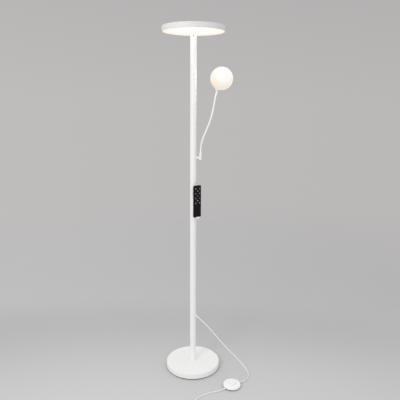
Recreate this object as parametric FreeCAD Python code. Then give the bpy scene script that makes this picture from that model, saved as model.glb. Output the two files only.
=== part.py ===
import FreeCAD, Part
import math
import os
from FreeCAD import Vector, Placement, Rotation

# Torchiere floor lamp with a reading light. Millimetres, +Z up, origin on the floor at the pole's axis.
# The camera of the photograph looks along +Y, and the reading arm leaves the pole towards +X.

# Fits between pieces
slip_gap = 0.1
press_gap = 0.05
moving_gap = 0.3
button_gap = 0.2
loose_gap = 1.0

# Base
base_radius = 145.0
base_height = 34.0
base_edge_radius = 2.5
cover_wall = 1.2
pad_thickness = 3.0
pad_inset = 3.5
plate_thickness = 1.5
weight_gap = 3.0
weight_chamfer = 6.0
plate_screw_count = 4
plate_screw_circle = 105.0
plate_screw_radius = 2.0
plate_screw_length = 14.0
plate_screw_head_radius = 4.0
plate_screw_head_height = 1.8

# Pole
pole_radius = 16.0
pole_wall = 1.2
lower_joint_height = 620.0
coupler_length = 60.0
coupler_wall = 3.0
foot_plug_length = 20.0
foot_bolt_radius = 5.0
foot_bolt_grip = 14.0
foot_bolt_length = 30.0
foot_bolt_head_radius = 9.0
foot_bolt_head_height = 6.4
foot_bolt_flange_radius = 11.0
foot_bolt_flange_height = 1.5

# Head
lamp_height = 1800.0
head_radius = 153.5
head_thickness = 24.5
head_top_edge_radius = 2.5
head_bottom_edge_radius = 0.8
rim_wall = 3.0
top_wall = 2.0
diffuser_wall = 2.5
diffuser_skirt_wall = 1.6
diffuser_recess = 1.0
diffuser_hole_gap = 0.4
head_boss_radius = 36.0
head_boss_depth = 4.0
collar_length = 12.0
spigot_length = 28.0
hub_bore_radius = 4.0
hub_flange_radius = 33.0
hub_flange_thickness = 3.5
hub_screw_count = 4
hub_screw_circle = 25.0
hub_screw_radius = 2.0
hub_screw_length = 8.0
hub_screw_runout = 0.4
hub_screw_head_radius = 3.5
hub_screw_head_height = 2.4
set_screw_radius = 2.5
set_screw_length = 9.0
set_screw_drop = 7.5
set_screw_sink = 0.2
set_screw_socket_radius = 1.25
set_screw_socket_depth = 2.0
board_thickness = 1.6
board_inner_radius = 40.0
chip_side = 3.5
chip_height = 0.8
chip_ring_radii = (60.0, 94.0, 128.0)
chip_ring_counts = (12, 18, 24)
driver_radius = 12.0
driver_length = 110.0
driver_clearance = 25.5
driver_ring_length = 6.0
inner_lead_radius = 2.5
thin_lead_radius = 1.5
head_lead_drop = 15.0
head_lead_reach = 44.0
head_lead_hole_gap = 0.3

# Reading arm
arm_height = 1167.0
joint_above_arm = 44.0
stub_radius = 5.3
stub_thread_radius = 5.0
stub_thread_length = 8.0
stub_collar_radius = 7.5
stub_collar_length = 3.0
stub_seat_depth = 2.0
arm_nut_radius = 8.2
arm_nut_thickness = 4.0
ferrule_offset = 37.0
ferrule_radius = 6.7
ferrule_above = 25.0
ferrule_below = 12.0
ferrule_bottom_rounding = 4.0
ferrule_top_rounding = 1.2
ferrule_floor = 10.0
neck_radius = 4.3
neck_bore_radius = 2.0
neck_runs = ((98.0, 24.0), (27.0, 0.0), (111.0, -14.5), (43.0, 0.0), (26.0, 9.5), (12.0, 0.0))
neck_joint_count = 5
ball_gap = 0.06
knuckle_rise = 3.1

# Reading light
globe_radius = 55.8
globe_wall = 2.5
globe_stand = 65.3
globe_opening_radius = 12.8
cup_radius = 15.0
cup_sleeve_radius = 6.0
cup_sleeve_length = 12.0
cup_floor = 8.0
cup_shoulder_height = 2.5
cup_shoulder_radius = 9.0
cup_side_height = 7.0
holder_radius = 11.5
holder_length = 26.0
holder_flange_length = 6.5
holder_top_rounding = 1.5
bulb_base_radius = 7.5
bulb_base_length = 10.0
bulb_radius = 9.0
bulb_length = 34.0
bulb_tip_rounding = 8.55

# Remote control and its cradle
remote_turn = 38.0
remote_width = 47.0
remote_length = 166.5
remote_thickness = 9.0
remote_corner_radius = 6.0
remote_front_distance = 37.8
remote_bottom_height = 862.0
remote_wall = 1.2
front_shell_depth = 5.4
button_radius = 3.7
button_flange_radius = 4.7
button_flange_thickness = 0.8
button_proud = 0.8
button_column_pitch = 12.3
button_row_pitch = 25.0
button_first_row = 16.0
side_rows = 4
board_gap_to_front = 2.3
remote_board_thickness = 1.3
remote_board_length = 120.0
cell_radius = 10.0
cell_thickness = 2.5
cell_height = 62.0
cradle_width = 34.0
cradle_height = 100.0
cradle_wall = 2.5
saddle_width = 16.0
saddle_height = 70.0
saddle_rise = 20.0
saddle_back_distance = 11.2
shelf_width = 24.0
shelf_thickness = 6.0
shelf_lip_height = 2.5
shelf_lip_thickness = 2.2
shelf_rounding = 4.0
shelf_end_rounding = 2.7

# Foot switch
switch_centre_x = 206.0
switch_centre_y = -197.0
switch_radius = 45.0
switch_split_height = 9.0
switch_height = 19.5
switch_side_height = 17.5
switch_edge_radius = 7.0
switch_foot_rounding = 1.5
switch_wall = 1.8
push_radius = 19.0
push_flange_width = 2.5
push_flange_thickness = 2.0
push_rise = 2.5
push_edge_radius = 2.0
module_length = 30.0
module_width = 22.0
module_height = 8.0
spring_radius = 6.0
spring_wire_radius = 0.5
spring_turns = 3
relief_length = 20.0
relief_root_radius = 4.2
relief_tip_radius = 3.0
relief_height = 4.6
relief_seat = 3.0

# Mains cord: exit from the pole, stretches, coil and plug
cord_radius = 2.5
exit_height = 302.0
exit_azimuth = -11.6
exit_slope = 40.0
bushing_length = 22.0
bushing_root_radius = 6.0
bushing_tip_radius = 3.2
bushing_neck_radius = 4.4
bushing_neck_depth = 6.0
cord_exit_run = 36.0
cord_drop_route = ((103.0, -20.5, 220.5), (150.0, -29.0, 164.0), (194.8, -37.5, 116.5), (238.0, -46.0, 75.7),
                   (272.0, -54.0, 40.0), (290.0, -60.5, 19.0), (302.0, -79.0, 3.2), (302.0, -104.0, 2.6),
                   (295.0, -128.0, 2.6))
cord_in_run = 20.0
cord_in_azimuth = 31.0
cord_out_azimuth = 216.0
cord_out_run = 17.0
cord_floor_route = ((112.0, -250.0, 2.6), (72.0, -268.0, 2.6), (44.5, -286.5, 2.6), (21.5, -311.0, 2.6),
                    (0.0, -340.0, 3.0))
coil_entry_run = 13.0
coil_centre_x = 30.0
coil_centre_y = -384.0
coil_inner_radius = 19.5
coil_pitch = 5.5
coil_lower_turns = 3.5
coil_climb_turns = 0.5
coil_upper_turns = 3.25
coil_start_angle = 180.0
layer_rise = 5.45
tangent_step = 0.02
tie_thickness = 0.8
tie_width = 6.0
tie_gap = 0.1
tie_inner_clearance = 0.6
tie_outer_clearance = 0.2
tail_run = 20.0
plug_reach = 59.0
plug_shift = -6.1
plug_entry_run = 19.0
plug_heading = -9.0
plug_body_length = 35.0
plug_body_width = 35.0
plug_body_thickness = 14.0
plug_corner_radius = 5.0
plug_relief_length = 22.0
plug_relief_radius = 5.0
plug_relief_tip_radius = 3.2
pin_radius = 2.0
pin_shank_radius = 1.6
pin_length = 19.0
pin_spacing = 18.6
pin_seat = 6.0

# Heights and radii that follow from the sizes above
plate_bottom = pad_thickness
weight_bottom = plate_bottom + plate_thickness
weight_top = base_height - cover_wall
cover_inner_radius = base_radius - cover_wall
pole_inner_radius = pole_radius - pole_wall
head_bottom = lamp_height - head_thickness
pole_top = head_bottom - collar_length
hub_top = lamp_height - top_wall - head_boss_depth
driver_height = pole_top - spigot_length - driver_clearance - driver_length
upper_joint_height = arm_height + joint_above_arm
ferrule_top = arm_height + ferrule_above
neck_length = sum(length for length, turn in neck_runs)
remote_back_distance = remote_front_distance - remote_thickness
remote_top_height = remote_bottom_height + remote_length
relief_reach = switch_radius + relief_length
coil_lower_height = tie_thickness + 2.0 * tie_gap + cord_radius - press_gap
plug_height = plug_body_thickness / 2.0
UP = Vector(0, 0, 1)


def save(node, shape):
    """Write one node's solids to its own file and say how large they are."""
    shape.exportStep("parts/" + node + ".step")
    print(node, "solids", len(shape.Solids), "valid", shape.isValid(), "volume", round(shape.Volume, 1))


def polar(angle, distance):
    """Point at a distance from the Z axis, at an angle in degrees from +X."""
    turn = math.radians(angle)
    return Vector(distance * math.cos(turn), distance * math.sin(turn), 0)


def rod(radius, start, end):
    return Part.makeCylinder(radius, (end - start).Length, start, end - start)


def cone(start_radius, end_radius, start, end):
    return Part.makeCone(start_radius, end_radius, (end - start).Length, start, end - start)


def arc_edge(start, corner, end):
    """Arc from start to end whose tangents meet at the corner."""
    middle = (start + end) * 0.5
    half_chord = (end - start).Length / 2.0
    to_corner = corner - middle
    rise = half_chord * math.tan(math.atan2(to_corner.Length, half_chord) / 2.0)
    return Part.Arc(start, middle + to_corner.normalize() * rise, end).toShape()


def outline(corners):
    """Closed wire in the XZ plane through (x, z, rounding) corners."""
    places = [Vector(x, 0, z) for x, z, rounding in corners]
    count = len(places)
    starts = []
    ends = []
    edges = []
    for index, (x, z, rounding) in enumerate(corners):
        before = (places[index - 1] - places[index]).normalize()
        after = (places[(index + 1) % count] - places[index]).normalize()
        half_turn = (math.pi - before.getAngle(after)) / 2.0
        trim = rounding * math.tan(half_turn)
        starts.append(places[index] + before * trim)
        ends.append(places[index] + after * trim)
        if rounding > 0:
            edges.append(arc_edge(starts[-1], places[index], ends[-1]))
        if index > 0:
            edges.append(Part.LineSegment(ends[index - 1], starts[index]).toShape())
    edges.append(Part.LineSegment(ends[-1], starts[0]).toShape())
    return Part.Wire(Part.__sortEdges__(edges))


def turned(corners):
    """Solid turned about the Z axis from (radius, height, rounding) corners."""
    return Part.Face(outline(corners)).revolve(Vector(0, 0, 0), UP, 360)


def hexagon(radius, start, end):
    """Six-sided bar whose corners lie on the radius."""
    points = [polar(60.0 * side, radius) for side in range(7)]
    bar = Part.Face(Part.makePolygon(points)).extrude(Vector(0, 0, (end - start).Length))
    bar.Placement = Placement(start, Rotation(UP, end - start))
    return bar


def stand(shape, origin, direction):
    """Move a shape made along +Z from the zero point to an origin and a direction."""
    shape.Placement = Placement(origin, Rotation(UP, direction)).multiply(shape.Placement)
    return shape


def pipe(edges, radius):
    """Round bar along a chain of edges."""
    path = Part.Wire(edges)
    start = edges[0].valueAt(edges[0].FirstParameter)
    tangent = edges[0].tangentAt(edges[0].FirstParameter)
    section = Part.Wire(Part.Circle(start, tangent, radius).toShape())
    return path.makePipeShell([section], True, False)


def route_edges(points, name):
    """Straight runs joined by tangent arcs, each as large as its two runs allow."""
    edges = []
    radii = []
    last = points[0]
    for before, corner, after in zip(points, points[1:], points[2:]):
        back = before - corner
        ahead = after - corner
        trim = 0.45 * min(back.Length, ahead.Length)
        turn = math.pi - back.getAngle(ahead)
        arc_start = corner + back.normalize() * trim
        arc_end = corner + ahead.normalize() * trim
        edges.append(Part.LineSegment(last, arc_start).toShape())
        edges.append(arc_edge(arc_start, corner, arc_end))
        radii.append(round(trim / math.tan(turn / 2.0), 1))
        last = arc_end
    edges.append(Part.LineSegment(last, points[-1]).toShape())
    print(name, "arc radii", radii)
    return edges


def lead(points, radius, name):
    """Plain tube along a route, with its volume set against section times length."""
    edges = route_edges(points, name)
    tube = pipe(edges, radius)
    length = sum(edge.Length for edge in edges)
    ratio = tube.Volume / (math.pi * radius**2 * length)
    print(name, "length", round(length, 1), "volume ratio", round(ratio, 4))
    return tube


def biarc_edges(stations):
    """Two tangent arcs between each pair of (point, tangent) stations."""
    edges = []
    for (start, leaving), (end, arriving) in zip(stations, stations[1:]):
        chord = end - start
        both = leaving + arriving
        spread = 2.0 * (1.0 - leaving.dot(arriving))
        along = chord.dot(both)
        reach = (math.sqrt(along * along + spread * chord.dot(chord)) - along) / spread
        first_corner = start + leaving * reach
        second_corner = end - arriving * reach
        middle = (first_corner + second_corner) * 0.5
        edges.append(arc_edge(start, first_corner, middle))
        edges.append(arc_edge(middle, second_corner, end))
    return edges


# Base

def plate_screw_places():
    return [polar(360.0 * (index + 0.5) / plate_screw_count, plate_screw_circle)
            for index in range(plate_screw_count)]


def base_pad():
    pad = Part.makeCylinder(base_radius - pad_inset, pad_thickness)
    for centre in plate_screw_places():
        pad = pad.cut(Part.makeCylinder(plate_screw_head_radius + loose_gap, pad_thickness, centre))
    return pad


def base_plate():
    plate = Part.makeCylinder(cover_inner_radius - slip_gap, plate_thickness, Vector(0, 0, plate_bottom))
    for centre in plate_screw_places():
        hole_start = centre + UP * plate_bottom
        plate = plate.cut(rod(plate_screw_radius + slip_gap, hole_start, hole_start + UP * plate_thickness))
    return plate


def base_screws():
    screws = []
    for centre in plate_screw_places():
        seat = centre + UP * plate_bottom
        head = rod(plate_screw_head_radius, seat - UP * plate_screw_head_height, seat)
        shank = rod(plate_screw_radius, seat, seat + UP * plate_screw_length)
        screws.append(head.fuse(shank))
    return Part.makeCompound(screws)


def bolt_seat_height():
    return weight_top - foot_bolt_grip


def base_weight():
    radius = cover_inner_radius - weight_gap
    weight = turned([(0, weight_bottom, 0), (radius, weight_bottom, 0),
                     (radius, weight_top - weight_chamfer, 0), (radius - weight_chamfer, weight_top, 0),
                     (0, weight_top, 0)])
    bottom = UP * weight_bottom
    weight = weight.cut(rod(foot_bolt_radius + slip_gap, bottom, UP * weight_top))
    weight = weight.cut(rod(foot_bolt_flange_radius + 2 * loose_gap, bottom, UP * bolt_seat_height()))
    for centre in plate_screw_places():
        bottom = centre + UP * weight_bottom
        depth = plate_screw_length - plate_thickness + loose_gap
        weight = weight.cut(rod(plate_screw_radius + press_gap, bottom, bottom + UP * depth))
    return weight


def base_cover():
    hole = pole_radius + slip_gap
    inner_rounding = base_edge_radius - cover_wall
    return turned([(base_radius, pad_thickness, 0), (base_radius, base_height, base_edge_radius),
                   (hole, base_height, 0), (hole, weight_top, 0),
                   (cover_inner_radius, weight_top, inner_rounding), (cover_inner_radius, pad_thickness, 0)])


# Pole

def foot_bolt():
    seat = Vector(0, 0, bolt_seat_height())
    flange = rod(foot_bolt_flange_radius, seat - UP * foot_bolt_flange_height, seat)
    head = hexagon(foot_bolt_head_radius, seat - UP * (foot_bolt_flange_height + foot_bolt_head_height),
                   seat - UP * foot_bolt_flange_height)
    return flange.fuse([head, rod(foot_bolt_radius, seat, seat + UP * foot_bolt_length)])


def pole_tube(bottom, top):
    low = Vector(0, 0, bottom)
    high = Vector(0, 0, top)
    return rod(pole_radius, low, high).cut(rod(pole_inner_radius, low, high))


def exit_direction():
    level = polar(exit_azimuth, math.cos(math.radians(exit_slope)))
    return level - UP * math.sin(math.radians(exit_slope))


def exit_point():
    return polar(exit_azimuth, pole_radius) + UP * exit_height


def pole_lower():
    low = UP * weight_top
    high = low + UP * foot_plug_length
    plug = rod(pole_inner_radius, low, high)
    thread = rod(foot_bolt_radius + press_gap, low, high)
    tube = pole_tube(weight_top, lower_joint_height).fuse(plug.cut(thread))
    hole = rod(bushing_neck_radius + slip_gap, exit_point() - exit_direction() * bushing_neck_depth * 1.5,
               exit_point() + exit_direction() * bushing_neck_depth)
    return tube.cut(hole)


def pole_middle():
    tube = pole_tube(lower_joint_height, upper_joint_height)
    inside = Vector(0, 0, arm_height)
    return tube.cut(rod(stub_thread_radius + slip_gap, inside, inside + Vector(pole_radius * 2, 0, 0)))


def set_screw_height():
    return pole_top - set_screw_drop


def pole_upper():
    tube = pole_tube(upper_joint_height, pole_top)
    inside = Vector(0, 0, set_screw_height())
    return tube.cut(rod(set_screw_radius + slip_gap, inside, inside - Vector(0, pole_radius * 2, 0)))


def pole_couplers():
    couplers = []
    for joint_height in (lower_joint_height, upper_joint_height):
        low = Vector(0, 0, joint_height - coupler_length / 2.0)
        high = Vector(0, 0, joint_height + coupler_length / 2.0)
        sleeve = rod(pole_inner_radius - press_gap, low, high)
        couplers.append(sleeve.cut(rod(pole_inner_radius - coupler_wall, low, high)))
    return Part.makeCompound(couplers)


def cord_bushing():
    outward = exit_direction()
    mouth = exit_point()
    root = mouth - outward * bushing_neck_depth
    body = cone(bushing_root_radius, bushing_tip_radius, root, mouth + outward * bushing_length)
    low = Vector(0, 0, exit_height - bushing_length)
    high = Vector(0, 0, exit_height + bushing_length)
    body = body.cut(rod(pole_radius + press_gap, low, high))
    neck = rod(bushing_neck_radius, root, mouth + outward * bushing_neck_depth)
    return body.fuse(neck)


def elbowed(points, radius):
    """Inner lead in straight stretches, round at its elbows."""
    stretches = [rod(radius, before, after) for before, after in zip(points, points[1:])]
    elbows = [Part.makeSphere(radius, point) for point in points[1:-1]]
    return stretches[0].fuse(stretches[1:] + elbows)


def inner_leads():
    """Main lead up to the driver, thin lead to the reading arm, thin lead to the head's board."""
    outward = exit_direction()
    start = exit_point() - outward * bushing_neck_depth
    bend = Vector(0, 0, exit_height + pole_radius * math.tan(math.radians(exit_slope)))
    main_lead = lead([start, bend, Vector(0, 0, driver_height)], inner_lead_radius, "main lead")
    side = inner_lead_radius + thin_lead_radius + loose_gap
    arm_lead = elbowed([Vector(stub_inner_end() - thin_lead_radius, 0, arm_height),
                        Vector(side, side, arm_height), Vector(side, side, driver_height)], thin_lead_radius)
    turn_height = lamp_height - head_lead_drop
    head_lead = elbowed([Vector(0, 0, driver_height + driver_length), Vector(0, 0, turn_height),
                         Vector(head_lead_reach, 0, turn_height),
                         Vector(head_lead_reach, 0, board_bottom())], thin_lead_radius)
    return Part.makeCompound([main_lead, arm_lead, head_lead])


def led_driver():
    low = Vector(0, 0, driver_height)
    high = Vector(0, 0, driver_height + driver_length)
    ring_radius = pole_inner_radius - slip_gap
    body = rod(driver_radius, low, high)
    lower_ring = rod(ring_radius, low + UP * driver_ring_length, low + UP * driver_ring_length * 2)
    upper_ring = rod(ring_radius, high - UP * driver_ring_length * 2, high - UP * driver_ring_length)
    return body.fuse([lower_ring, upper_ring])


# Head

def hub_screw_places():
    return [polar(360.0 * (index + 0.5) / hub_screw_count, hub_screw_circle)
            for index in range(hub_screw_count)]


def hub_screw_hole_top():
    return hub_top - hub_flange_thickness + hub_screw_length + hub_screw_runout


def board_bottom():
    return lamp_height - top_wall - board_thickness


def head_housing():
    rim_inner = head_radius - rim_wall
    ceiling = lamp_height - top_wall
    housing = turned([(0, lamp_height, 0), (head_radius, lamp_height, head_top_edge_radius),
                      (head_radius, head_bottom, head_bottom_edge_radius),
                      (rim_inner, head_bottom, 0), (rim_inner, ceiling, 0),
                      (head_boss_radius, ceiling, 0), (head_boss_radius, hub_top, 0), (0, hub_top, 0)])
    for centre in hub_screw_places():
        housing = housing.cut(rod(hub_screw_radius + press_gap, centre + UP * hub_top,
                                  centre + UP * hub_screw_hole_top()))
    return housing


def head_diffuser():
    outer = head_radius - rim_wall - slip_gap
    inner = outer - diffuser_skirt_wall
    hole = pole_radius + diffuser_hole_gap
    face_bottom = head_bottom + diffuser_recess
    face_top = face_bottom + diffuser_wall
    skirt_top = lamp_height - top_wall
    return turned([(hole, face_bottom, 0), (outer, face_bottom, 0), (outer, skirt_top, 0),
                   (inner, skirt_top, 0), (inner, face_top, 0), (hole, face_top, 0)])


def led_board():
    """Ring board under the housing's roof with its chips facing down."""
    bottom = board_bottom()
    outer = head_radius - rim_wall - diffuser_skirt_wall - 4 * slip_gap
    top = lamp_height - top_wall
    board = rod(outer, UP * bottom, UP * top).cut(rod(board_inner_radius, UP * bottom, UP * top))
    chips = []
    for ring_radius, count in zip(chip_ring_radii, chip_ring_counts):
        for index in range(count):
            chip = Part.makeBox(chip_side, chip_side, chip_height,
                                Vector(ring_radius - chip_side / 2, -chip_side / 2, bottom - chip_height))
            chip.rotate(Vector(0, 0, 0), UP, 360.0 * index / count)
            chips.append(chip)
    return Part.makeCompound([board] + chips)


def head_hub():
    """Collar under the diffuser, spigot inside the pole and flange under the housing."""
    flange_bottom = hub_top - hub_flange_thickness
    spigot_radius = pole_inner_radius - press_gap
    spigot_bottom = pole_top - spigot_length
    hub = turned([(hub_bore_radius, spigot_bottom, 0), (spigot_radius, spigot_bottom, 0),
                  (spigot_radius, pole_top, 0), (pole_radius, pole_top, 0), (pole_radius, flange_bottom, 0),
                  (hub_flange_radius, flange_bottom, 0), (hub_flange_radius, hub_top, 0),
                  (hub_bore_radius, hub_top, 0)])
    for centre in hub_screw_places():
        hub = hub.cut(rod(hub_screw_radius + slip_gap, centre + UP * flange_bottom, centre + UP * hub_top))
    side_height = lamp_height - head_lead_drop
    hub = hub.cut(rod(thin_lead_radius + head_lead_hole_gap, Vector(0, 0, side_height),
                      Vector(pole_radius + loose_gap, 0, side_height)))
    height = set_screw_height()
    return hub.cut(rod(set_screw_radius + press_gap, Vector(0, 0, height), Vector(0, -pole_radius, height)))


def head_set_screw():
    height = set_screw_height()
    outside = Vector(0, -pole_radius + set_screw_sink, height)
    screw = rod(set_screw_radius, outside + Vector(0, set_screw_length, 0), outside)
    socket_end = outside + Vector(0, set_screw_socket_depth, 0)
    return screw.cut(hexagon(set_screw_socket_radius, socket_end, outside))


def head_screws():
    screws = []
    seat_height = hub_top - hub_flange_thickness
    for centre in hub_screw_places():
        seat = centre + UP * seat_height
        head = rod(hub_screw_head_radius, seat - UP * hub_screw_head_height, seat)
        screws.append(head.fuse(rod(hub_screw_radius, seat, seat + UP * hub_screw_length)))
    return Part.makeCompound(screws)


# Reading arm

def stub_inner_end():
    return pole_radius - stub_thread_length


def arm_stub():
    end = ferrule_offset - ferrule_radius + stub_seat_depth
    thread = rod(stub_thread_radius, Vector(stub_inner_end(), 0, arm_height),
                 Vector(pole_radius + loose_gap, 0, arm_height))
    collar = rod(stub_collar_radius, Vector(pole_radius / 2, 0, arm_height),
                 Vector(pole_radius + stub_collar_length, 0, arm_height))
    shaft = rod(stub_radius, Vector(pole_radius / 2, 0, arm_height), Vector(end, 0, arm_height))
    low = Vector(0, 0, arm_height - pole_radius)
    high = Vector(0, 0, arm_height + pole_radius)
    outside = collar.fuse(shaft).cut(rod(pole_radius + press_gap, low, high))
    return outside.fuse(thread)


def arm_nut():
    seat = math.sqrt(pole_inner_radius**2 - arm_nut_radius**2)
    inner = Vector(seat - arm_nut_thickness, 0, arm_height)
    outer = Vector(seat, 0, arm_height)
    return hexagon(arm_nut_radius, inner, outer).cut(rod(stub_thread_radius + press_gap, inner, outer))


def arm_ferrule():
    bottom = arm_height - ferrule_below
    bore = neck_radius + slip_gap
    floor_height = bottom + ferrule_floor
    ferrule = turned([(0, bottom, 0), (ferrule_radius, bottom, ferrule_bottom_rounding),
                      (ferrule_radius, ferrule_top, ferrule_top_rounding), (bore, ferrule_top, 0),
                      (bore, floor_height, 0), (0, floor_height, 0)])
    ferrule.translate(Vector(ferrule_offset, 0, 0))
    seat = ferrule_offset - ferrule_radius + stub_seat_depth
    return ferrule.cut(rod(stub_radius + press_gap, Vector(0, 0, arm_height), Vector(seat, 0, arm_height)))


def neck_state(distance):
    """Place and lean of the gooseneck's centre line at a distance from the lower ferrule's top."""
    x = ferrule_offset
    z = ferrule_top
    lean = 0.0
    for run_length, turn in neck_runs:
        step = min(run_length, distance)
        step_turn = math.radians(turn) * step / run_length
        if abs(turn) > 0:
            radius = run_length / math.radians(turn)
            x += radius * (math.cos(lean) - math.cos(lean + step_turn))
            z += radius * (math.sin(lean + step_turn) - math.sin(lean))
        else:
            x += step * math.sin(lean)
            z += step * math.cos(lean)
        lean += step_turn
        distance -= step
        if distance <= 0:
            break
    return Vector(x, 0, z), lean


def neck_edges(start, end):
    """Lines and arcs of the centre line between two distances."""
    edges = []
    run_start = 0.0
    for run_length, turn in neck_runs:
        low = max(start, run_start)
        high = min(end, run_start + run_length)
        if high - low > 0.001:
            first = neck_state(low)[0]
            last = neck_state(high)[0]
            if abs(turn) > 0:
                edges.append(Part.Arc(first, neck_state((low + high) / 2)[0], last).toShape())
            else:
                edges.append(Part.LineSegment(first, last).toShape())
        run_start += run_length
    return edges


def neck_joint_distance(number):
    """Distance of a bending point along the neck, counted from 1."""
    return neck_length * (number - 0.5) / neck_joint_count


def neck_direction(distance):
    lean = neck_state(distance)[1]
    return Vector(math.sin(lean), 0, math.cos(lean))


def neck_link(number):
    """One link of the gooseneck: a cupped lower end and a ball at its upper end."""
    first = number == 0
    last = number == neck_joint_count
    start = 0.0 if first else neck_joint_distance(number) + knuckle_rise
    end = neck_length if last else neck_joint_distance(number + 1)
    edges = neck_edges(start, end)
    link = pipe(edges, neck_radius)
    bore = pipe(edges, neck_bore_radius)
    if first:
        low = Vector(ferrule_offset, 0, arm_height - ferrule_below + ferrule_floor)
        high = Vector(ferrule_offset, 0, ferrule_top)
        link = link.fuse(rod(neck_radius, low, high))
        bore = bore.fuse(rod(neck_bore_radius, low, high))
    if not last:
        centre = neck_state(end)[0]
        upward = neck_direction(end)
        link = link.fuse(Part.makeSphere(neck_radius, centre, upward, 0, 90, 360))
        bore = bore.fuse(rod(neck_bore_radius, centre, centre + upward * neck_radius * 2))
    link = link.cut(bore)
    if not first:
        link = link.cut(Part.makeSphere(neck_radius + ball_gap, neck_state(neck_joint_distance(number))[0]))
    return link


# Reading light, made along +Z from the neck's end and then leaned over

def lean_over(shape):
    return stand(shape, neck_state(neck_length)[0], neck_direction(neck_length))


def globe_seat_height():
    """Height at which the globe's outside meets its opening."""
    return globe_stand - math.sqrt(globe_radius**2 - globe_opening_radius**2)


def socket_cup():
    rim_height = globe_seat_height() - press_gap
    bore = neck_radius + slip_gap
    spigot = globe_opening_radius - button_gap
    return lean_over(turned([(0, 0, 0), (bore, 0, 0), (bore, -cup_sleeve_length, 0),
                             (cup_sleeve_radius, -cup_sleeve_length, 0), (cup_sleeve_radius, 0, 0),
                             (cup_shoulder_radius, cup_shoulder_height, 0), (cup_radius, cup_side_height, 0),
                             (cup_radius, rim_height, 0), (spigot, rim_height, 0), (spigot, cup_floor, 0),
                             (0, cup_floor, 0)]))


def lamp_holder():
    flange = globe_opening_radius - 2 * button_gap
    flange_top = cup_floor + holder_flange_length
    top = cup_floor + holder_length
    return lean_over(turned([(0, cup_floor, 0), (flange, cup_floor, 0), (flange, flange_top, 0),
                             (holder_radius, flange_top, 0), (holder_radius, top, holder_top_rounding),
                             (0, top, 0)]))


def bulb():
    bottom = cup_floor + holder_length
    shoulder = bottom + bulb_base_length
    top = shoulder + bulb_length
    return lean_over(turned([(0, bottom, 0), (bulb_base_radius, bottom, 0), (bulb_base_radius, shoulder, 0),
                             (bulb_radius, shoulder, 0), (bulb_radius, top, bulb_tip_rounding),
                             (0, top, 0)]))


def globe():
    centre = Vector(0, 0, globe_stand)
    shell = Part.makeSphere(globe_radius, centre).cut(Part.makeSphere(globe_radius - globe_wall, centre))
    opening = rod(globe_opening_radius, Vector(0, 0, 0), centre)
    return lean_over(shell.cut(opening))


# Remote control and cradle, made facing -Y and then turned about the pole

def turn_to_remote(shape):
    shape.rotate(Vector(0, 0, 0), UP, remote_turn)
    return shape


def slab(width, back, front, bottom, top, rounding):
    """Upright rounded block between two distances in front of the pole's axis."""
    half = width / 2.0
    corners = [(-half, bottom, rounding), (half, bottom, rounding), (half, top, rounding),
               (-half, top, rounding)]
    face = Part.Face(outline(corners))
    block = face.extrude(Vector(0, back - front, 0))
    block.translate(Vector(0, -back, 0))
    return block


def remote_cradle():
    plate_front = remote_back_distance - moving_gap
    plate_back = plate_front - cradle_wall
    shelf_bottom = remote_bottom_height - shelf_thickness
    lip_back = remote_front_distance + moving_gap
    lip_front = lip_back + shelf_lip_thickness
    plate = slab(cradle_width, plate_back, plate_front, shelf_bottom, remote_bottom_height + cradle_height,
                 shelf_rounding)
    shelf = slab(shelf_width, plate_back, lip_front, shelf_bottom, remote_bottom_height, shelf_end_rounding)
    lip = slab(shelf_width, lip_back, lip_front, shelf_bottom, remote_bottom_height + shelf_lip_height,
               shelf_rounding)
    saddle_bottom = remote_bottom_height + saddle_rise
    saddle_top = saddle_bottom + saddle_height
    saddle = slab(saddle_width, saddle_back_distance, plate_back, saddle_bottom, saddle_top, shelf_rounding)
    saddle = saddle.cut(rod(pole_radius + press_gap, UP * saddle_bottom, UP * saddle_top))
    return turn_to_remote(plate.fuse([shelf, lip, saddle]))


def button_places():
    """Name, sideways place and height of each button: two outer columns, a middle one between their rows."""
    places = []
    first_height = remote_top_height - button_first_row
    for row in range(side_rows):
        for side, offset in (("left", -button_column_pitch), ("right", button_column_pitch)):
            places.append((side + "_" + str(row + 1), offset, first_height - row * button_row_pitch))
    for row in range(side_rows - 1):
        height = first_height - (row + 0.5) * button_row_pitch
        places.append(("middle_" + str(row + 1), 0.0, height))
    return places


def remote_shell():
    """Front shell with a round hole for each button."""
    back = remote_front_distance - front_shell_depth
    inside = remote_front_distance - remote_wall
    shell = slab(remote_width, back, remote_front_distance, remote_bottom_height, remote_top_height,
                 remote_corner_radius)
    hollow = slab(remote_width - 2 * remote_wall, back, inside, remote_bottom_height + remote_wall,
                  remote_top_height - remote_wall, remote_corner_radius - remote_wall)
    shell = shell.cut(hollow)
    for name, offset, height in button_places():
        shell = shell.cut(rod(button_radius + button_gap, Vector(offset, -back, height),
                              Vector(offset, -remote_front_distance, height)))
    return turn_to_remote(shell)


def remote_back():
    split = remote_front_distance - front_shell_depth
    shell = slab(remote_width, remote_back_distance, split, remote_bottom_height, remote_top_height,
                 remote_corner_radius)
    hollow = slab(remote_width - 2 * remote_wall, remote_back_distance + remote_wall, split,
                  remote_bottom_height + remote_wall, remote_top_height - remote_wall,
                  remote_corner_radius - remote_wall)
    return turn_to_remote(shell.cut(hollow))


def remote_board():
    """Circuit board behind the buttons, with the coin cell on its back."""
    front = remote_front_distance - remote_wall - board_gap_to_front
    back = front - remote_board_thickness
    width = remote_width - 2 * remote_wall - 2 * slip_gap
    top = remote_top_height - remote_wall - slip_gap
    board = slab(width, back, front, top - remote_board_length, top, remote_corner_radius - remote_wall)
    cell_centre = remote_bottom_height + cell_height
    cell = rod(cell_radius, Vector(0, -back, cell_centre), Vector(0, -back + cell_thickness, cell_centre))
    return turn_to_remote(Part.makeCompound([board, cell]))


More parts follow.
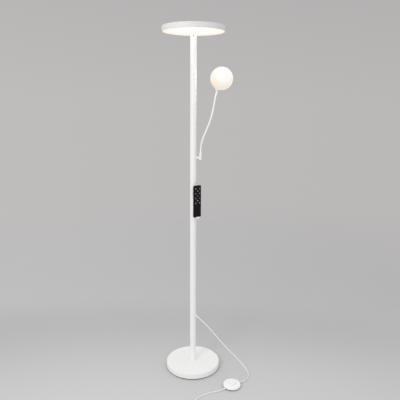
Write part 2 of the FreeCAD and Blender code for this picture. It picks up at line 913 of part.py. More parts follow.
def remote_button(offset, height):
    inside = remote_front_distance - remote_wall - press_gap
    cap = rod(button_radius, Vector(offset, -inside, height),
              Vector(offset, -remote_front_distance - button_proud, height))
    flange = rod(button_flange_radius, Vector(offset, -inside + button_flange_thickness, height),
                 Vector(offset, -inside, height))
    return turn_to_remote(cap.fuse(flange))


# Foot switch, made about the Z axis and then moved to its place on the floor

def put_switch(shape):
    shape.translate(Vector(switch_centre_x, switch_centre_y, 0))
    return shape


def relief_axis(azimuth, distance):
    return polar(azimuth, distance) + UP * relief_height


def switch_base():
    inside = switch_radius - switch_wall
    base = turned([(0, 0, 0), (switch_radius, 0, switch_foot_rounding),
                   (switch_radius, switch_split_height, 0), (inside, switch_split_height, 0),
                   (inside, switch_wall, 0), (0, switch_wall, 0)])
    for azimuth in (cord_in_azimuth, cord_out_azimuth):
        base = base.cut(rod(relief_root_radius + press_gap, relief_axis(azimuth, inside - relief_seat),
                            relief_axis(azimuth, switch_radius + loose_gap)))
    return put_switch(base)


def switch_shell():
    inside = switch_radius - switch_wall
    hole = push_radius + button_gap
    return put_switch(turned([(switch_radius, switch_split_height, 0),
                              (switch_radius, switch_side_height, switch_edge_radius),
                              (hole, switch_height, 0), (hole, switch_height - switch_wall, 0),
                              (inside, switch_side_height - switch_wall, switch_edge_radius - switch_wall),
                              (inside, switch_split_height, 0)]))


def push_flange_top():
    return switch_side_height - switch_wall - slip_gap


def switch_button():
    flange = push_radius + push_flange_width
    flange_top = push_flange_top()
    top = switch_height + push_rise
    return put_switch(turned([(0, flange_top - push_flange_thickness, 0),
                              (flange, flange_top - push_flange_thickness, 0), (flange, flange_top, 0),
                              (push_radius, flange_top, 0), (push_radius, top, push_edge_radius),
                              (0, top, 0)]))


def switch_module():
    module = Part.makeBox(module_length, module_width, module_height,
                          Vector(-module_length / 2, -module_width / 2, switch_wall))
    return put_switch(module)


def switch_spring():
    """Open coil spring between the module and the push button, in quarter turns."""
    low = switch_wall + module_height + spring_wire_radius
    high = push_flange_top() - push_flange_thickness - spring_wire_radius
    quarter_turns = spring_turns * 4
    rise = (high - low) / quarter_turns
    stations = []
    for quarter in range(quarter_turns + 1):
        angle = 90.0 * quarter
        tangent = (polar(angle + 90.0, spring_radius * math.pi / 2) + UP * rise).normalize()
        stations.append((polar(angle, spring_radius) + UP * (low + rise * quarter), tangent))
    return put_switch(pipe(biarc_edges(stations), spring_wire_radius))


def switch_reliefs():
    reliefs = []
    for azimuth in (cord_in_azimuth, cord_out_azimuth):
        root = relief_axis(azimuth, switch_radius - switch_wall - relief_seat)
        face = relief_axis(azimuth, switch_radius)
        tip = relief_axis(azimuth, relief_reach)
        seat = rod(relief_root_radius, root, face)
        reliefs.append(put_switch(seat.fuse(cone(relief_root_radius, relief_tip_radius, face, tip))))
    return Part.makeCompound(reliefs)


# Mains cord

def switch_point(azimuth, distance):
    return relief_axis(azimuth, distance) + Vector(switch_centre_x, switch_centre_y, 0)


def cord_to_switch():
    """From the pole's bushing down to the floor and round into the foot switch."""
    outward = exit_direction()
    tip = exit_point() + outward * bushing_length
    points = [tip, tip + outward * cord_exit_run]
    points += [Vector(x, y, z) for x, y, z in cord_drop_route]
    points += [switch_point(cord_in_azimuth, relief_reach + cord_in_run),
               switch_point(cord_in_azimuth, relief_reach)]
    return lead(points, cord_radius, "cord to switch")


def coil_start():
    """Where the coil's straight end meets the cord from the switch."""
    return Vector(coil_centre_x - coil_radius(0.0), coil_centre_y + 2 * cord_radius, coil_lower_height)


def cord_to_coil():
    """From the foot switch along the floor, out of the view, to the coil."""
    end = coil_start()
    points = [switch_point(cord_out_azimuth, relief_reach),
              switch_point(cord_out_azimuth, relief_reach + cord_out_run)]
    points += [Vector(x, y, z) for x, y, z in cord_floor_route]
    points += [end + Vector(0, coil_entry_run, 0), end]
    return lead(points, cord_radius, "cord to coil")


def coil_turns():
    """All turns of the coil: lower layer, the half turn that climbs, upper layer."""
    return coil_lower_turns + coil_climb_turns + coil_upper_turns


def coil_radius(turn):
    """Winding radius after a number of turns: in on the lower layer, out from the middle of the climb."""
    return coil_inner_radius + coil_pitch * abs(turn - coil_lower_turns - coil_climb_turns / 2)


def coil_point(turn):
    climb = min(max((turn - coil_lower_turns) / coil_climb_turns, 0.0), 1.0)
    height = coil_lower_height + layer_rise * climb * climb * (3.0 - 2.0 * climb)
    centre = Vector(coil_centre_x, coil_centre_y, height)
    return centre + polar(coil_start_angle + 360.0 * turn, coil_radius(turn))


def coil_tangent(turn):
    return (coil_point(turn + tangent_step) - coil_point(turn - tangent_step)).normalize()


def cord_coil():
    """The put-away length: one tube with all its turns and a short straight run at each end."""
    start = coil_point(0.0)
    total = coil_turns()
    end = coil_point(total)
    final_direction = polar(coil_start_angle + 360.0 * total + 90.0, 1.0)
    stations = [(start, Vector(0, -1, 0))]
    for quarter in range(1, int(round(total * 4))):
        stations.append((coil_point(quarter / 4.0), coil_tangent(quarter / 4.0)))
    stations.append((end, final_direction))
    edges = [Part.LineSegment(coil_start(), start).toShape()]
    edges += biarc_edges(stations)
    edges.append(Part.LineSegment(end, end + final_direction * 2 * cord_radius).toShape())
    print("coil length", round(sum(edge.Length for edge in edges), 1))
    print("coil least gap", round(coil_gap(edges), 2))
    return pipe(edges, cord_radius)


def coil_gap(edges):
    """Least distance between the coil's turns, measured on points along its centre line."""
    points = []
    travelled = 0.0
    for edge in edges:
        for share in range(8):
            parameter = edge.FirstParameter + (edge.LastParameter - edge.FirstParameter) * share / 8.0
            points.append((travelled + edge.Length * share / 8.0, edge.valueAt(parameter)))
        travelled += edge.Length
    least = travelled
    for index, (place, point) in enumerate(points):
        for other_place, other in points[index + 1:]:
            if other_place - place > math.pi * coil_inner_radius:
                least = min(least, point.distanceToPoint(other))
    return least - 2 * cord_radius


def coil_end():
    total = coil_turns()
    return coil_point(total) + polar(coil_start_angle + 360.0 * total + 90.0, 2 * cord_radius)


def plug_tip():
    """Where the cord enters the plug's strain relief."""
    return Vector(coil_end().x + plug_reach, coil_end().y + plug_shift, plug_height)


def cord_tail():
    """Short free stretch from the coil's upper layer down to the plug."""
    start = coil_end()
    heading = polar(plug_heading, 1.0)
    points = [start,
              start + Vector(tail_run, 0, 0),
              plug_tip() - heading * plug_entry_run,
              plug_tip()]
    return lead(points, cord_radius, "cord tail")


def cord_tie():
    """Flat band round the coil's turns on the side towards the lamp."""
    inner_edge = coil_centre_y + coil_inner_radius - cord_radius - tie_inner_clearance
    widest = coil_inner_radius + coil_pitch * (coil_upper_turns - coil_climb_turns / 2)
    outer_edge = coil_centre_y + widest + cord_radius + tie_outer_clearance
    low = coil_lower_height - cord_radius - tie_gap
    high = coil_lower_height + layer_rise + cord_radius + tie_gap
    wall = tie_thickness
    left = coil_centre_x - tie_width / 2
    outside = Part.makeBox(tie_width, outer_edge - inner_edge + 2 * wall, high - low + 2 * wall,
                           Vector(left, inner_edge - wall, low - wall))
    inside = Part.makeBox(tie_width, outer_edge - inner_edge, high - low, Vector(left, inner_edge, low))
    return outside.cut(inside)


def plug_place(shape):
    """Put a shape made along +X from the plug's entry into its place on the floor."""
    shape.rotate(Vector(0, 0, 0), UP, plug_heading)
    shape.translate(plug_tip())
    return shape


def plug_body():
    relief = cone(plug_relief_tip_radius, plug_relief_radius, Vector(0, 0, 0),
                  Vector(plug_relief_length, 0, 0))
    half_width = plug_body_width / 2
    half_thick = plug_body_thickness / 2
    body = Part.makeBox(plug_body_length, plug_body_width, plug_body_thickness,
                        Vector(plug_relief_length, -half_width, -half_thick))
    long_edges = [edge for edge in body.Edges if abs(edge.tangentAt(edge.FirstParameter).x) > 0.9]
    body = body.makeFillet(plug_corner_radius, long_edges)
    body = body.fuse(relief)
    face = plug_relief_length + plug_body_length
    for side in (-pin_spacing / 2, pin_spacing / 2):
        body = body.cut(rod(pin_shank_radius, Vector(face - pin_seat, side, 0), Vector(face, side, 0)))
    return plug_place(body)


def plug_pins():
    face = plug_relief_length + plug_body_length
    pins = []
    for side in (-pin_spacing / 2, pin_spacing / 2):
        tip = face + pin_length - pin_radius
        shank = rod(pin_shank_radius - press_gap, Vector(face - pin_seat, side, 0), Vector(face, side, 0))
        pin = rod(pin_radius, Vector(face, side, 0), Vector(tip, side, 0))
        nose = Part.makeSphere(pin_radius, Vector(tip, side, 0), Vector(1, 0, 0), 0, 90, 360)
        pins.append(plug_place(shank.fuse([pin, nose])))
    return Part.makeCompound(pins)


os.makedirs("parts", exist_ok=True)

nodes = {
    "base_pad": base_pad, "base_plate": base_plate, "base_screws": base_screws, "base_weight": base_weight,
    "base_cover": base_cover, "foot_bolt": foot_bolt, "pole_lower": pole_lower, "pole_middle": pole_middle,
    "pole_upper": pole_upper, "pole_couplers": pole_couplers, "cord_bushing": cord_bushing,
    "inner_leads": inner_leads, "led_driver": led_driver, "head_housing": head_housing,
    "head_diffuser": head_diffuser, "led_board": led_board, "head_hub": head_hub,
    "head_set_screw": head_set_screw, "head_screws": head_screws, "arm_stub": arm_stub, "arm_nut": arm_nut,
    "arm_ferrule": arm_ferrule, "socket_cup": socket_cup, "lamp_holder": lamp_holder, "bulb": bulb,
    "globe": globe, "remote_cradle": remote_cradle, "remote_shell": remote_shell, "remote_back": remote_back,
    "remote_board": remote_board, "switch_base": switch_base, "switch_shell": switch_shell,
    "switch_button": switch_button, "switch_module": switch_module, "switch_spring": switch_spring,
    "switch_reliefs": switch_reliefs, "cord_to_switch": cord_to_switch, "cord_to_coil": cord_to_coil,
    "cord_coil": cord_coil, "cord_tail": cord_tail, "cord_tie": cord_tie, "plug_body": plug_body,
    "plug_pins": plug_pins,
}
for node, make in nodes.items():
    save(node, make())

for number in range(neck_joint_count + 1):
    save("neck_link_" + str(number + 1), neck_link(number))

for name, offset, height in button_places():
    save("key_" + name, remote_button(offset, height))

# The bending points of the gooseneck, for the joints' places
for number in range(1, neck_joint_count + 1):
    centre, lean = neck_state(neck_joint_distance(number))
    print("neck joint", number, round(centre.x, 3), round(centre.z, 3), "lean", round(math.degrees(lean), 3))
print("globe centre", neck_state(neck_length)[0] + neck_direction(neck_length) * globe_stand)
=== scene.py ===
import math

import bmesh
import bpy
from mathutils import Matrix, Vector


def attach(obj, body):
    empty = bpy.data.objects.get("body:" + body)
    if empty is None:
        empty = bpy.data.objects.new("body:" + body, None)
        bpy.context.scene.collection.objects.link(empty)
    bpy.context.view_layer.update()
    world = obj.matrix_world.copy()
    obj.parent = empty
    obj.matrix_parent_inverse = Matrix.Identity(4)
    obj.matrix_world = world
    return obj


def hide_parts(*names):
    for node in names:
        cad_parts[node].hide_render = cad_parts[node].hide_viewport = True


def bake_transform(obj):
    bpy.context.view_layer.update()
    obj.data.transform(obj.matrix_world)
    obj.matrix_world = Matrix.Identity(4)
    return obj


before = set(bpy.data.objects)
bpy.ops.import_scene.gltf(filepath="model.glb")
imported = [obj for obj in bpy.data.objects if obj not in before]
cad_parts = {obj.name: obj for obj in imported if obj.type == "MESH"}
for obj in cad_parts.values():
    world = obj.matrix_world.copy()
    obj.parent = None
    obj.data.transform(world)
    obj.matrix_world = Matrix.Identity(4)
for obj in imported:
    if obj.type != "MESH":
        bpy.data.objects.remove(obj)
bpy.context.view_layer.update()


# The room: a pale seamless floor coloured with a painted pool of light in front of the lamp, a painted
# darker band behind it and painted side shade, a grey surround that fades a little towards the top, one
# broad soft light from the front left and even light from all round, a little stronger near the horizon.
scene = bpy.context.scene
scene.view_settings.view_transform = "Standard"

floor_half_side = 30.0
fade_from = 1.5
fade_to = 4.8
# Painted light: the floor is coloured lighter in a pool in front of the lamp and darker in a band behind it.
painted_light_pool_place = (0.05, 0.165, 0)
painted_light_pool_scale = (0.14, 0.33, 1)
painted_light_pool_tint = (1.0, 0.984, 0.990)
painted_light_pool_tones = ((0.0, 0.668), (0.10, 0.637), (0.18, 0.606), (0.26, 0.554), (0.31, 0.530), (0.36, 0.525),
    (0.46, 0.556), (1.0, 0.566))
speck_scale = 220.0
speck_share = 0.05
# Painted shade: the floor is coloured darker to the left near the lamp and to the right further back.
painted_near_side_shade = (-1.6, 1.6, 0.895, 1.024)
painted_far_side_shade = (-1.6, 1.6, 1.012, 0.920)
far_share = (0.05, 0.75, 0.0, 1.0)
surround_shade = (-0.38, 0.38, 1.02, 0.965)
surround_low = (0.510, 0.499, 0.495)
surround_high = (0.462, 0.454, 0.452)
surround_top = 0.22
sky_horizon = 1.12
sky_zenith = 0.79
key_power = 16.5
key_side = 0.8
key_place = Vector((-1.15, -1.95, 1.85))
key_target = Vector((0, 0, 1.1))
camera_place = (0.0353, -2.3515, 1.4524)
camera_tilt = math.radians(77.875)
camera_roll = math.radians(0.291)
camera_lens = 41.709


def node_tree_of(material):
    """The material's empty node tree, ready for its own nodes."""
    material.use_nodes = True
    tree = material.node_tree
    tree.nodes.clear()
    return tree


def add(tree, kind, **settings):
    """One node of a kind with its settings, and its inputs' values by name or as in_number."""
    node = tree.nodes.new(kind if "Node" in kind else "ShaderNode" + kind)
    for key, value in settings.items():
        if key.startswith("in_"):
            node.inputs[int(key[3:])].default_value = value
        elif key.replace("_", " ") in node.inputs:
            node.inputs[key.replace("_", " ")].default_value = value
        else:
            setattr(node, key, value)
    return node


def join(tree, *links):
    """Links between nodes, from rows of (node, output, node, input)."""
    for source, output, target, socket in links:
        tree.links.new(source.outputs[output], target.inputs[socket])


def between(tree, span):
    """A map from one range to another, given as (from low, from high, to low, to high)."""
    return add(tree, "MapRange", in_1=span[0], in_2=span[1], in_3=span[2], in_4=span[3])


def ramp(tree, stops):
    """A colour ramp with (position, colour) stops."""
    node = add(tree, "ValToRGB")
    while len(node.color_ramp.elements) < len(stops):
        node.color_ramp.elements.new(0.5)
    for element, (position, colour) in zip(node.color_ramp.elements, stops):
        element.position = position
        element.color = tuple(colour) + (1,) * (4 - len(colour))
    return node


def placed(name, data):
    """A linked object that holds some data, at the origin."""
    obj = bpy.data.objects.new(name, data)
    scene.collection.objects.link(obj)
    return obj


def light_at(name, kind, power, place, **settings):
    """A lamp of a kind at a place, hidden from the camera."""
    data = bpy.data.lights.new(name, kind)
    data.energy = power
    for key, value in settings.items():
        setattr(data, key, value)
    obj = placed(name, data)
    obj.location = place
    obj.visible_camera = False
    return obj


floor_mesh = bpy.data.meshes.new("floor")
floor_mesh.from_pydata([(-floor_half_side, -floor_half_side, 0), (floor_half_side, -floor_half_side, 0),
    (floor_half_side, floor_half_side, 0), (-floor_half_side, floor_half_side, 0)], [], [(0, 1, 2, 3)])
floor = placed("floor", floor_mesh)
floor_paint_with_painted_light = bpy.data.materials.new("floor_paint_with_painted_light")
tree = node_tree_of(floor_paint_with_painted_light)
place = add(tree, "TexCoord")
painted_light_pool_mapping = add(tree, "Mapping", vector_type="POINT", Location=painted_light_pool_place, Scale=painted_light_pool_scale)
away = add(tree, "VectorMath", operation="LENGTH")
painted_light_pool_ramp = ramp(tree, [(position, [tone * share for share in painted_light_pool_tint]) for position, tone in painted_light_pool_tones])
speck = add(tree, "TexNoise", Scale=speck_scale, Detail=4.0)
speck_tone = add(tree, "Mix", data_type="RGBA", blend_type="MULTIPLY", in_0=speck_share)
across = add(tree, "SeparateXYZ")
near = between(tree, painted_near_side_shade)
far = between(tree, painted_far_side_shade)
how_far = between(tree, far_share)
shade = add(tree, "Mix", data_type="FLOAT")
shaded = add(tree, "VectorMath", operation="SCALE")
matt = add(tree, "BsdfDiffuse")
clear = add(tree, "BsdfTransparent")
distance = add(tree, "VectorMath", operation="LENGTH")
fade = add(tree, "MapRange", interpolation_type="SMOOTHSTEP", in_1=fade_from, in_2=fade_to)
path = add(tree, "LightPath")
fade_seen = add(tree, "Math", operation="MULTIPLY")
blended = add(tree, "MixShader")
out = add(tree, "OutputMaterial")
join(tree, (place, "Object", across, 0), (across, "X", near, "Value"), (across, "X", far, "Value"),
    (across, "Y", how_far, "Value"), (how_far, 0, shade, 0), (near, 0, shade, 2), (far, 0, shade, 3),
    (place, "Object", distance, 0), (distance, "Value", fade, "Value"), (fade, 0, fade_seen, 0),
    (path, "Is Camera Ray", fade_seen, 1), (fade_seen, 0, blended, "Fac"), (place, "Object", painted_light_pool_mapping, "Vector"),
    (painted_light_pool_mapping, 0, away, 0), (away, "Value", painted_light_pool_ramp, "Fac"), (place, "Object", speck, "Vector"),
    (painted_light_pool_ramp, "Color", speck_tone, 6), (speck, "Fac", speck_tone, 7), (speck_tone, 2, shaded, 0),
    (shade, 0, shaded, "Scale"), (shaded, 0, matt, "Color"), (matt, 0, blended, 1), (clear, 0, blended, 2),
    (blended, 0, out, "Surface"))
floor_mesh.materials.append(floor_paint_with_painted_light)

world = bpy.data.worlds.new("soft_room")
scene.world = world
world.use_nodes = True
tree = world.node_tree
tree.nodes.clear()
direction = add(tree, "TexCoord")
height = add(tree, "SeparateXYZ")
light_tone = ramp(tree, [(0.0, (sky_horizon,) * 3), (1.0, (sky_zenith,) * 3)])
seen_tone = ramp(tree, [(0.0, surround_low), (surround_top, surround_high)])
path = add(tree, "LightPath")
seen_or_gloss = add(tree, "Math", operation="MAXIMUM")
seen_any = add(tree, "Math", operation="MAXIMUM")
lighting = add(tree, "Background")
seen = add(tree, "Background")
choose = add(tree, "MixShader")
shade = between(tree, surround_shade)
shaded = add(tree, "VectorMath", operation="SCALE")
out = add(tree, "OutputWorld")
join(tree, (direction, "Generated", height, 0), (height, "Z", light_tone, "Fac"),
    (height, "Z", seen_tone, "Fac"), (light_tone, "Color", lighting, "Color"), (height, "X", shade, "Value"),
    (seen_tone, "Color", shaded, 0), (shade, 0, shaded, "Scale"), (shaded, 0, seen, "Color"),
    (path, "Is Camera Ray", seen_or_gloss, 0), (path, "Is Glossy Ray", seen_or_gloss, 1),
    (seen_or_gloss, 0, seen_any, 0), (path, "Is Transmission Ray", seen_any, 1), (seen_any, 0, choose, "Fac"),
    (lighting, 0, choose, 1), (seen, 0, choose, 2), (choose, 0, out, "Surface"))

key = light_at("key", "AREA", key_power, key_place, size=key_side)
key.rotation_mode = "QUATERNION"
key.rotation_quaternion = (key_place - key_target).to_track_quat("Z", "Y")

camera_data = bpy.data.cameras.new("view")
camera_data.lens = camera_lens
camera = placed("view", camera_data)
camera.matrix_world = (Matrix.Translation(camera_place) @ Matrix.Rotation(camera_tilt, 4, "X")
    @ Matrix.Rotation(camera_roll, 4, "Z"))
scene.camera = camera


# Base: a flat cover pressed from steel sheet, its corner drawn to a soft radius, powder coated
# white. A steel plate closes it below and a round pad of dark foam keeps it off the floor; the plate is
# blackened and the pad near black, partly painted shade that darkens the gap under the cover.
mm = 0.001
base_radius = 145.0
base_height = 34.0
base_corner = 2.5
cover_sheet = 1.2
cover_bottom = 5.2
lip_round = 0.35
plate_radius = 141.0
plate_sheet = 1.5
pad_height = 3.0
pad_radius = 141.5
window_radius = 5.0
window_count = 4
first_window = math.radians(45)
screw_circle = 105.0
pole_radius = 16.0
pole_hole = pole_radius + 0.1


def rounded(corners, steps=6):
    """Closed profile through (radius, height, rounding) corners, each rounding an arc of steps."""
    points = []
    count = len(corners)
    for index, (r, z, rounding) in enumerate(corners):
        here = Vector((r, z))
        if rounding == 0:
            points.append(here)
            continue
        before = (Vector(corners[index - 1][:2]) - here).normalized()
        after = (Vector(corners[(index + 1) % count][:2]) - here).normalized()
        half = before.angle(after) / 2
        centre = here + (before + after).normalized() * rounding / math.sin(half)
        first = here + before * rounding / math.tan(half) - centre
        last = here + after * rounding / math.tan(half) - centre
        turn = first.angle_signed(last)
        for step in range(steps + 1):
            spoke = first.copy()
            spoke.rotate(Matrix.Rotation(-turn * step / steps, 2))
            points.append(centre + spoke)
    return [(p.x, p.y) for p in points]


def skinned(shape, rings, joined=False):
    """Faces from each ring of points to the next, all round or with both ends capped, facing out."""
    faces = [] if joined else [shape.faces.new(rings[0]), shape.faces.new(rings[-1])]
    for ring, following in zip(rings, rings[1:] + rings[:1] * joined):
        for s in range(len(ring)):
            t = (s + 1) % len(ring)
            corners = list(dict.fromkeys((ring[s], ring[t], following[t], following[s])))
            if len(corners) > 2:
                faces.append(shape.faces.new(corners))
    bmesh.ops.recalc_face_normals(shape, faces=faces)
    return faces


def polar(radius, angle):
    """Both coordinates of a point at a radius and an angle about an axis."""
    return radius * math.cos(angle), radius * math.sin(angle)


def turned(profile, sides):
    """Mesh turned about Z from a closed (radius, height) profile in millimetres, its inside closed."""
    shape = bmesh.new()
    rings = []
    for r, z in profile:
        if r < 1e-6:
            rings.append([shape.verts.new((0, 0, z * mm))] * sides)
        else:
            rings.append([shape.verts.new((*polar(r * mm, 2 * math.pi * s / sides), z * mm))
                for s in range(sides)])
    skinned(shape, rings, joined=True)
    return shape


def facing(origin, direction):
    """Transform that stands a shape made along +Z on an origin in millimetres, along a direction."""
    turn = Vector(direction).to_track_quat("Z", "Y").to_matrix().to_4x4()
    return Matrix.Translation(Vector(origin) * mm) @ turn


def finished(shape, name, materials, crease=32.0, stand=None):
    """A linked object from a bmesh, smooth but for its creases, with its place in its mesh."""
    if stand is not None:
        shape.transform(stand)
    mesh = bpy.data.meshes.new(name)
    shape.to_mesh(mesh)
    shape.free()
    for material in materials:
        mesh.materials.append(material)
    return evened(placed(name, mesh), crease)


def evened(obj, crease):
    """Mark an object's creases and let its broad faces lead the shading beside its rounded edges."""
    obj.data.shade_smooth()
    obj.data.set_sharp_from_angle(angle=math.radians(crease))
    even = obj.modifiers.new("even", "WEIGHTED_NORMAL")
    even.keep_sharp = True
    made_final(obj)
    return obj


def made_final(obj):
    """Turn an object's modifiers into its plain mesh."""
    depsgraph = bpy.context.evaluated_depsgraph_get()
    mesh = bpy.data.meshes.new_from_object(obj.evaluated_get(depsgraph))
    obj.modifiers.clear()
    obj.data = mesh
    mesh.name = obj.name


def cut_away(obj, cutter_shape):
    """Cut a bmesh of cutters out of an object's mesh for good."""
    mesh = bpy.data.meshes.new("cutter")
    cutter_shape.to_mesh(mesh)
    cutter_shape.free()
    cutter = placed("cutter", mesh)
    cut = obj.modifiers.new("cut", "BOOLEAN")
    cut.operation = "DIFFERENCE"
    cut.solver = "EXACT"
    cut.use_self = True
    cut.object = cutter
    made_final(obj)
    bpy.data.objects.remove(cutter)
    evened(obj, 32.0)


def fitted(obj, body, slot, *nodes):
    """Set a finished piece on its body and hide the solids it stands for; the finish's name is not used."""
    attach(obj, body)
    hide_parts(*nodes)
    return obj


def spun(corners, steps, sides, name, material, slot, node, body="lamp", stand=None, cut=None):
    """A turned piece from its profile's corners, finished, cut by a bmesh of cutters and fitted."""
    obj = finished(turned(rounded(corners, steps), sides), name, [material], stand=stand)
    if cut is not None:
        cut_away(obj, cut)
    return fitted(obj, body, slot, node)


def coated(node, material):
    """Give a solid kept from the frame its finish."""
    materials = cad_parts[node].data.materials
    materials.clear()
    materials.append(material)


def surface(name, colour, roughness, layers, bump, distance=0.0002, **sockets):
    """A shader whose tone, gloss and relief come from layers of (texture, scale, tone, gloss, relief)."""
    material = bpy.data.materials.new(name)
    tree = node_tree_of(material)
    place = add(tree, "TexCoord")
    shader = add(tree, "BsdfPrincipled", Base_Color=colour + (1,), Roughness=roughness, **sockets)
    join(tree, (shader, 0, add(tree, "OutputMaterial"), "Surface"))
    totals = {}
    for kind, scale, *shares in layers:
        stretch = add(tree, "Mapping", Scale=scale if isinstance(scale, tuple) else (scale,) * 3)
        if kind == "cells":
            texture = add(tree, "TexVoronoi", Scale=1.0)
        else:
            texture = add(tree, "TexNoise", Scale=1.0, Detail=3.0)
        join(tree, (place, "Object", stretch, "Vector"), (stretch, 0, texture, "Vector"))
        for share, effect in zip(shares, ("tone", "gloss", "relief")):
            if share == 0:
                continue
            part = add(tree, "Math", operation="MULTIPLY_ADD", in_1=share, in_2=-share / 2)
            join(tree, (texture, "Distance" if kind == "cells" else "Fac", part, 0))
            if effect in totals:
                total = add(tree, "Math", operation="ADD")
                join(tree, (totals[effect], 0, total, 0), (part, 0, total, 1))
                part = total
            totals[effect] = part
    if "tone" in totals:
        level = add(tree, "Math", operation="ADD", in_1=1.0)
        shaded = add(tree, "HueSaturation", Color=colour + (1,))
        join(tree, (totals["tone"], 0, level, 0), (level, 0, shaded, "Value"),
            (shaded, 0, shader, "Base Color"))
    if "gloss" in totals:
        level = add(tree, "Math", operation="ADD", in_1=roughness, use_clamp=True)
        join(tree, (totals["gloss"], 0, level, 0), (level, 0, shader, "Roughness"))
    if "relief" in totals:
        raised = add(tree, "Bump", Strength=bump, Distance=distance)
        join(tree, (totals["relief"], 0, raised, "Height"), (raised, 0, shader, "Normal"))
    return material


white_coat = surface("white_powder_coat", (0.86, 0.86, 0.855), 0.48, [("noise", 700.0, 0.0, 0.0, 1.0),
    ("noise", 9.0, 0.02, 0.10, 0.0), ("noise", 2600.0, 0.015, 0.0, 0.4)], bump=0.16, distance=0.0003)
zinc = surface("zinc_plate", (0.60, 0.61, 0.62), 0.34,
    [("noise", (40.0, 900.0, 40.0), 0.10, 0.20, 0.6), ("cells", 120.0, 0.10, 0.08, 0.0)], bump=0.08,
    Metallic=1.0)
dark_steel = surface("blackened_steel", (0.05, 0.05, 0.052), 0.40, [("noise", 900.0, 0.3, 0.25, 1.0)],
    bump=0.10, Metallic=0.9)
concrete = surface("cast_weight", (0.42, 0.41, 0.39), 0.92,
    [("noise", 90.0, 0.25, 0.0, 0.6), ("cells", 320.0, 0.2, 0.0, 0.8)], bump=0.7, distance=0.0006)
# Partly painted shade: the foam is near black so that the pad under the base and the foot under the switch also
# show the shade in the gaps under their edges.
foam = surface("dark_foam_and_painted_gap_shade", (0.022, 0.022, 0.023), 0.95,
    [("cells", 1400.0, 0.5, 0.0, 1.0), ("noise", 300.0, 0.3, 0.0, 0.3)], bump=0.8, distance=0.0004)

spun([(base_radius, cover_bottom, lip_round), (base_radius, base_height, base_corner),
    (pole_hole, base_height, 0), (pole_hole, base_height - cover_sheet, 0),
    (base_radius - cover_sheet, base_height - cover_sheet, base_corner - cover_sheet),
    (base_radius - cover_sheet, cover_bottom, lip_round)], 10, 180, "base_cover_shell", white_coat,
    "white_paint", "base_cover")

plate_top = pad_height + plate_sheet
# Painted shade: the plate is blackened steel rather than zinc, so that the gap under the cover's lip shows
# dark.
spun([(0, pad_height, 0), (plate_radius, pad_height, 0.3), (plate_radius, plate_top, 0.3), (0, plate_top, 0)],
    3, 160, "base_bottom_plate", dark_steel, "zinc_steel", "base_plate")
coated("foot_bolt", dark_steel)
coated("base_weight", concrete)

windows = bmesh.new()
for index in range(window_count):
    centre = (*polar(screw_circle * mm, first_window + 2 * math.pi * index / window_count), 0)
    bmesh.ops.create_cone(windows, cap_ends=True, segments=32, radius1=window_radius * mm,
        radius2=window_radius * mm, depth=0.02, matrix=Matrix.Translation(centre))
pad = spun([(0, 0, 0), (pad_radius, 0, 0.9), (pad_radius, pad_height, 0.5), (0, pad_height, 0)], 6, 120,
    "base_foam_pad", foam, "pad_foam", "base_pad", cut=windows)


# Plate screws: four zinc-plated pan heads in the foam's windows, each with a cross recess, set
# round a circle. They hold the plate up against the cast weight.
screw_head_radius = 4.0
screw_head_height = 1.8
screw_shank_radius = 2.0
screw_length = 14.0
recess_half_width = 0.45
recess_reach = 2.1
recess_depth = 1.1


def geometry_tree(name, inputs):
    """A geometry tree with a mesh in and out and named inputs of (name, value), with its start node."""
    tree = bpy.data.node_groups.new(name, "GeometryNodeTree")
    for in_out in ("INPUT", "OUTPUT"):
        tree.interface.new_socket("Geometry", in_out=in_out, socket_type="NodeSocketGeometry")
    for label, value in inputs:
        kind = "NodeSocketInt" if isinstance(value, int) else "NodeSocketFloat"
        tree.interface.new_socket(label, in_out="INPUT", socket_type=kind).default_value = value
    tree.interface.new_socket("Material", in_out="INPUT", socket_type="NodeSocketMaterial")
    return tree, add(tree, "NodeGroupInput")


def ended(tree, start, last):
    """Make what a tree's last node gives real, coat it and hand it out."""
    real = add(tree, "GeometryNodeRealizeInstances")
    coat = add(tree, "GeometryNodeSetMaterial")
    end = add(tree, "NodeGroupOutput")
    join(tree, (last, 0, real, 0), (real, 0, coat, "Geometry"), (start, "Material", coat, "Material"),
        (coat, 0, end, 0))


def patterned(obj, tree, values):
    """Run a geometry tree over an object with values for its named inputs, and keep the mesh it makes."""
    made = obj.modifiers.new("pattern", "NODES")
    made.node_group = tree
    for item in tree.interface.items_tree:
        if item.in_out == "INPUT" and item.name in values:
            made[item.identifier] = values[item.name]
    made_final(obj)


screw_shape = turned(rounded([(0, pad_height - screw_head_height, 0),
    (screw_head_radius, pad_height - screw_head_height, 1.0), (screw_head_radius, pad_height, 0.2),
    (screw_shank_radius, pad_height, 0), (screw_shank_radius, pad_height + screw_length, 0.4),
    (0, pad_height + screw_length, 0)], 4), 28)
screws = finished(screw_shape, "plate_screws", [zinc])
cross = bmesh.new()
for turn in (0, 90):
    bmesh.ops.create_cube(cross, size=1.0, matrix=Matrix.Translation(
        (0, 0, (pad_height - screw_head_height) * mm)) @ Matrix.Rotation(math.radians(turn), 4, "Z")
        @ Matrix.Diagonal((recess_reach * 2 * mm, recess_half_width * 2 * mm, recess_depth * 2 * mm, 1)))
cut_away(screws, cross)
ring_tree, start = geometry_tree("screws_round_a_circle", [("Circle", 0.1), ("Count", 4), ("First angle", 0.0)])
circle = add(ring_tree, "GeometryNodeMeshCircle", fill_type="NONE")
turn_first = add(ring_tree, "GeometryNodeTransform")
around_z = add(ring_tree, "CombineXYZ")
put = add(ring_tree, "GeometryNodeInstanceOnPoints")
join(ring_tree, (start, "Circle", circle, "Radius"), (start, "Count", circle, "Vertices"),
    (start, "First angle", around_z, "Z"), (circle, "Mesh", turn_first, "Geometry"),
    (around_z, 0, turn_first, "Rotation"), (turn_first, 0, put, "Points"),
    (start, "Geometry", put, "Instance"))
ended(ring_tree, start, put)
